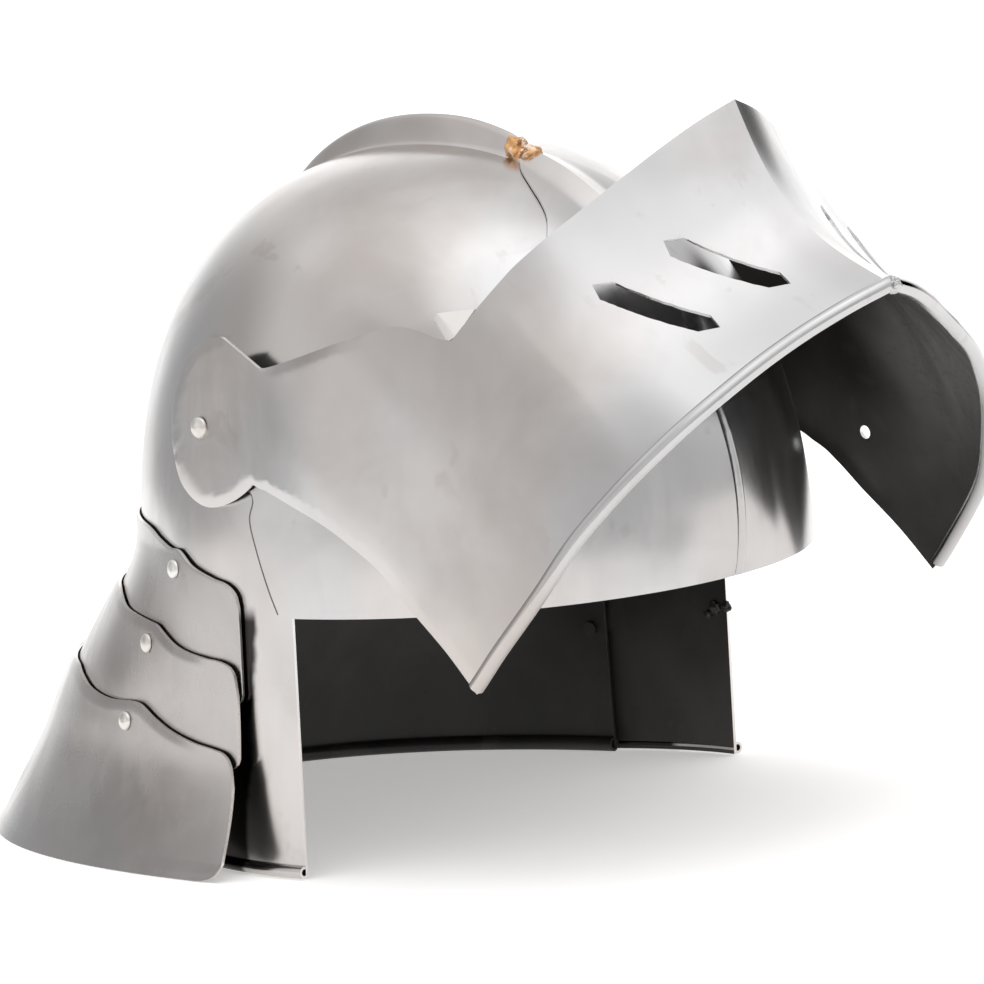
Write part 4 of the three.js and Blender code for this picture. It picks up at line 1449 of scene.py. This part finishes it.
def make_tab(side, label):
    """The strip left in the notch, snipped from the sheet and bent inward."""
    corners = [raise_up((side * x, y, z)) for x, y, z in TAB_CORNERS]
    first, second, third, fourth, fifth = corners

    def surface(u, v):
        if u < 0.5:
            return second.lerp(first, u * 2).lerp(third, v)
        return first.lerp(fifth, u * 2 - 1).lerp(third.lerp(fourth, u * 2 - 1), v)

    piece = bent_grid("notch_tab_" + label, 12, 8, surface)
    close_seams(piece, 0.01)
    face_away(piece, raise_up((0, -40, 80)))
    # The tab's near-white colour is a painted reflection.
    paint(piece, tab_painted_reflection, blackened_steel, cut_edge_highlight)
    add_wall(piece, TAB_WALL)
    smooth_faces(piece, 25)
    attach(piece, "visor")


# The studio, in metres

FLOOR_GLOW = 0.4
FLOOR_RADIUS = 1.3
FLOOR_DROP = 0.0005


def make_floor():
    """A white table lit a little from under."""
    bpy.ops.object.select_all(action="DESELECT")
    bpy.ops.mesh.primitive_circle_add(
        vertices=128, radius=FLOOR_RADIUS, fill_type="NGON", location=(0, 0, -FLOOR_DROP))
    floor = bpy.context.object
    floor.name = "studio_floor"
    material, tree, shader = new_material("pale_floor")
    place = add_node(tree, "ShaderNodeTexCoord").outputs["Object"]
    grain = range_node(tree, noise_node(tree, place, 30, 2), 0.3, 0.7, 0, 1)
    paper = mix_node(tree, grain, (0.93, 0.925, 0.915, 1), (0.95, 0.945, 0.94, 1))
    tree.links.new(paper, shader.inputs["Base Color"])
    shader.inputs["Emission Color"].default_value = (1, 0.99, 0.975, 1)
    shader.inputs["Emission Strength"].default_value = FLOOR_GLOW
    shader.inputs["Roughness"].default_value = 0.9
    shader.inputs["Specular IOR Level"].default_value = 0.1
    paint(floor, material)


def make_softbox(name, place, aim, width, height, power):
    light = bpy.data.lights.new(name, "AREA")
    light.shape = "RECTANGLE"
    light.size = width
    light.size_y = height
    light.energy = power
    lamp = bpy.data.objects.new(name, light)
    bpy.context.collection.objects.link(lamp)
    lamp.location = place
    lamp.rotation_mode = "QUATERNION"
    lamp.rotation_quaternion = (Vector(place) - Vector(aim)).to_track_quat("Z", "Y")


TENT_LIGHT = 0.9

# Soft brighter and darker areas of the tent: turn and rise of their middle in degrees,
# the cosines where they begin and are full, and what they add.
TENT_AREAS = (
    (-15, 60, 0.78, 0.99, 0.6),
    (0, 89, 0.88, 1, 0.3),
    (128, -4, 0.72, 0.97, 0.55),
    (-166, 8, 0.82, 0.97, -0.36),
    (-90, 40, 0.9, 0.99, -0.12),
    (-4, -2, 0.9, 0.99, -0.2),
    (86, 6, 0.945, 0.975, -1.1),
    (-128, 2, 0.93, 0.995, 0.15),
)


def make_world():
    world = bpy.data.worlds.new("studio")
    bpy.context.scene.world = world
    world.use_nodes = True
    tree = world.node_tree
    backdrop = tree.nodes["Background"]
    way = add_node(tree, "ShaderNodeTexCoord").outputs["Generated"]
    light = TENT_LIGHT
    for turn, rise, begin, full, change in TENT_AREAS:
        turn = math.radians(turn)
        rise = math.radians(rise)
        facing = add_node(tree, "ShaderNodeVectorMath", operation="DOT_PRODUCT")
        tree.links.new(way, facing.inputs[0])
        facing.inputs[1].default_value = (
            math.sin(turn) * math.cos(rise), -math.cos(turn) * math.cos(rise), math.sin(rise))
        area = range_node(tree, facing.outputs["Value"], begin, full, 0, change)
        light = math_node(tree, "ADD", area, light)
    backdrop.inputs["Color"].default_value = (1, 1, 1, 1)
    tree.links.new(light, backdrop.inputs["Strength"])


def make_lights():
    make_world()
    make_softbox("overhead", place=(-0.3, 0.2, 2.4), aim=(0, 0, 0.12), width=3, height=3, power=5)


def make_camera():
    turn = math.radians(CAMERA_TURN)
    rise = math.radians(CAMERA_RISE)
    roll = math.radians(CAMERA_ROLL)
    back = Vector((math.sin(turn) * math.cos(rise), -math.cos(turn) * math.cos(rise), math.sin(rise)))
    level = Vector((math.cos(turn), math.sin(turn), 0))
    upright = back.cross(level)
    right = level * math.cos(roll) - upright * math.sin(roll)
    up = level * math.sin(roll) + upright * math.cos(roll)
    aim = Vector((0, 0, CAMERA_AIM_HEIGHT)) + right * CAMERA_ASIDE + up * CAMERA_ABOVE
    camera = bpy.data.objects.new("camera", bpy.data.cameras.new("camera"))
    bpy.context.collection.objects.link(camera)
    turn_matrix = Matrix((right, up, back)).transposed().to_4x4()
    camera.matrix_world = Matrix.Translation(to_frame(aim + back * CAMERA_DISTANCE)) @ turn_matrix
    camera.data.lens = CAMERA_LENS
    camera.data.sensor_width = CAMERA_SENSOR
    camera.data.clip_end = CAMERA_FAR
    bpy.context.scene.camera = camera


make_camera()
make_bowl()
make_panel_roll(1, "left")
make_panel_roll(-1, "right")
make_comb()
make_brow_plate()
for plate in LAMES:
    make_lame(plate)
make_back_plate()
make_visor()
make_visor_roll()
make_rivets()
blacken_neck_rivets()
make_braze_runs()
make_welds()
make_brow_seam()
make_ridge_weld()
make_tab(1, "left")
make_tab(-1, "right")
make_floor()
make_lights()

bpy.context.scene.view_settings.view_transform = "Standard"
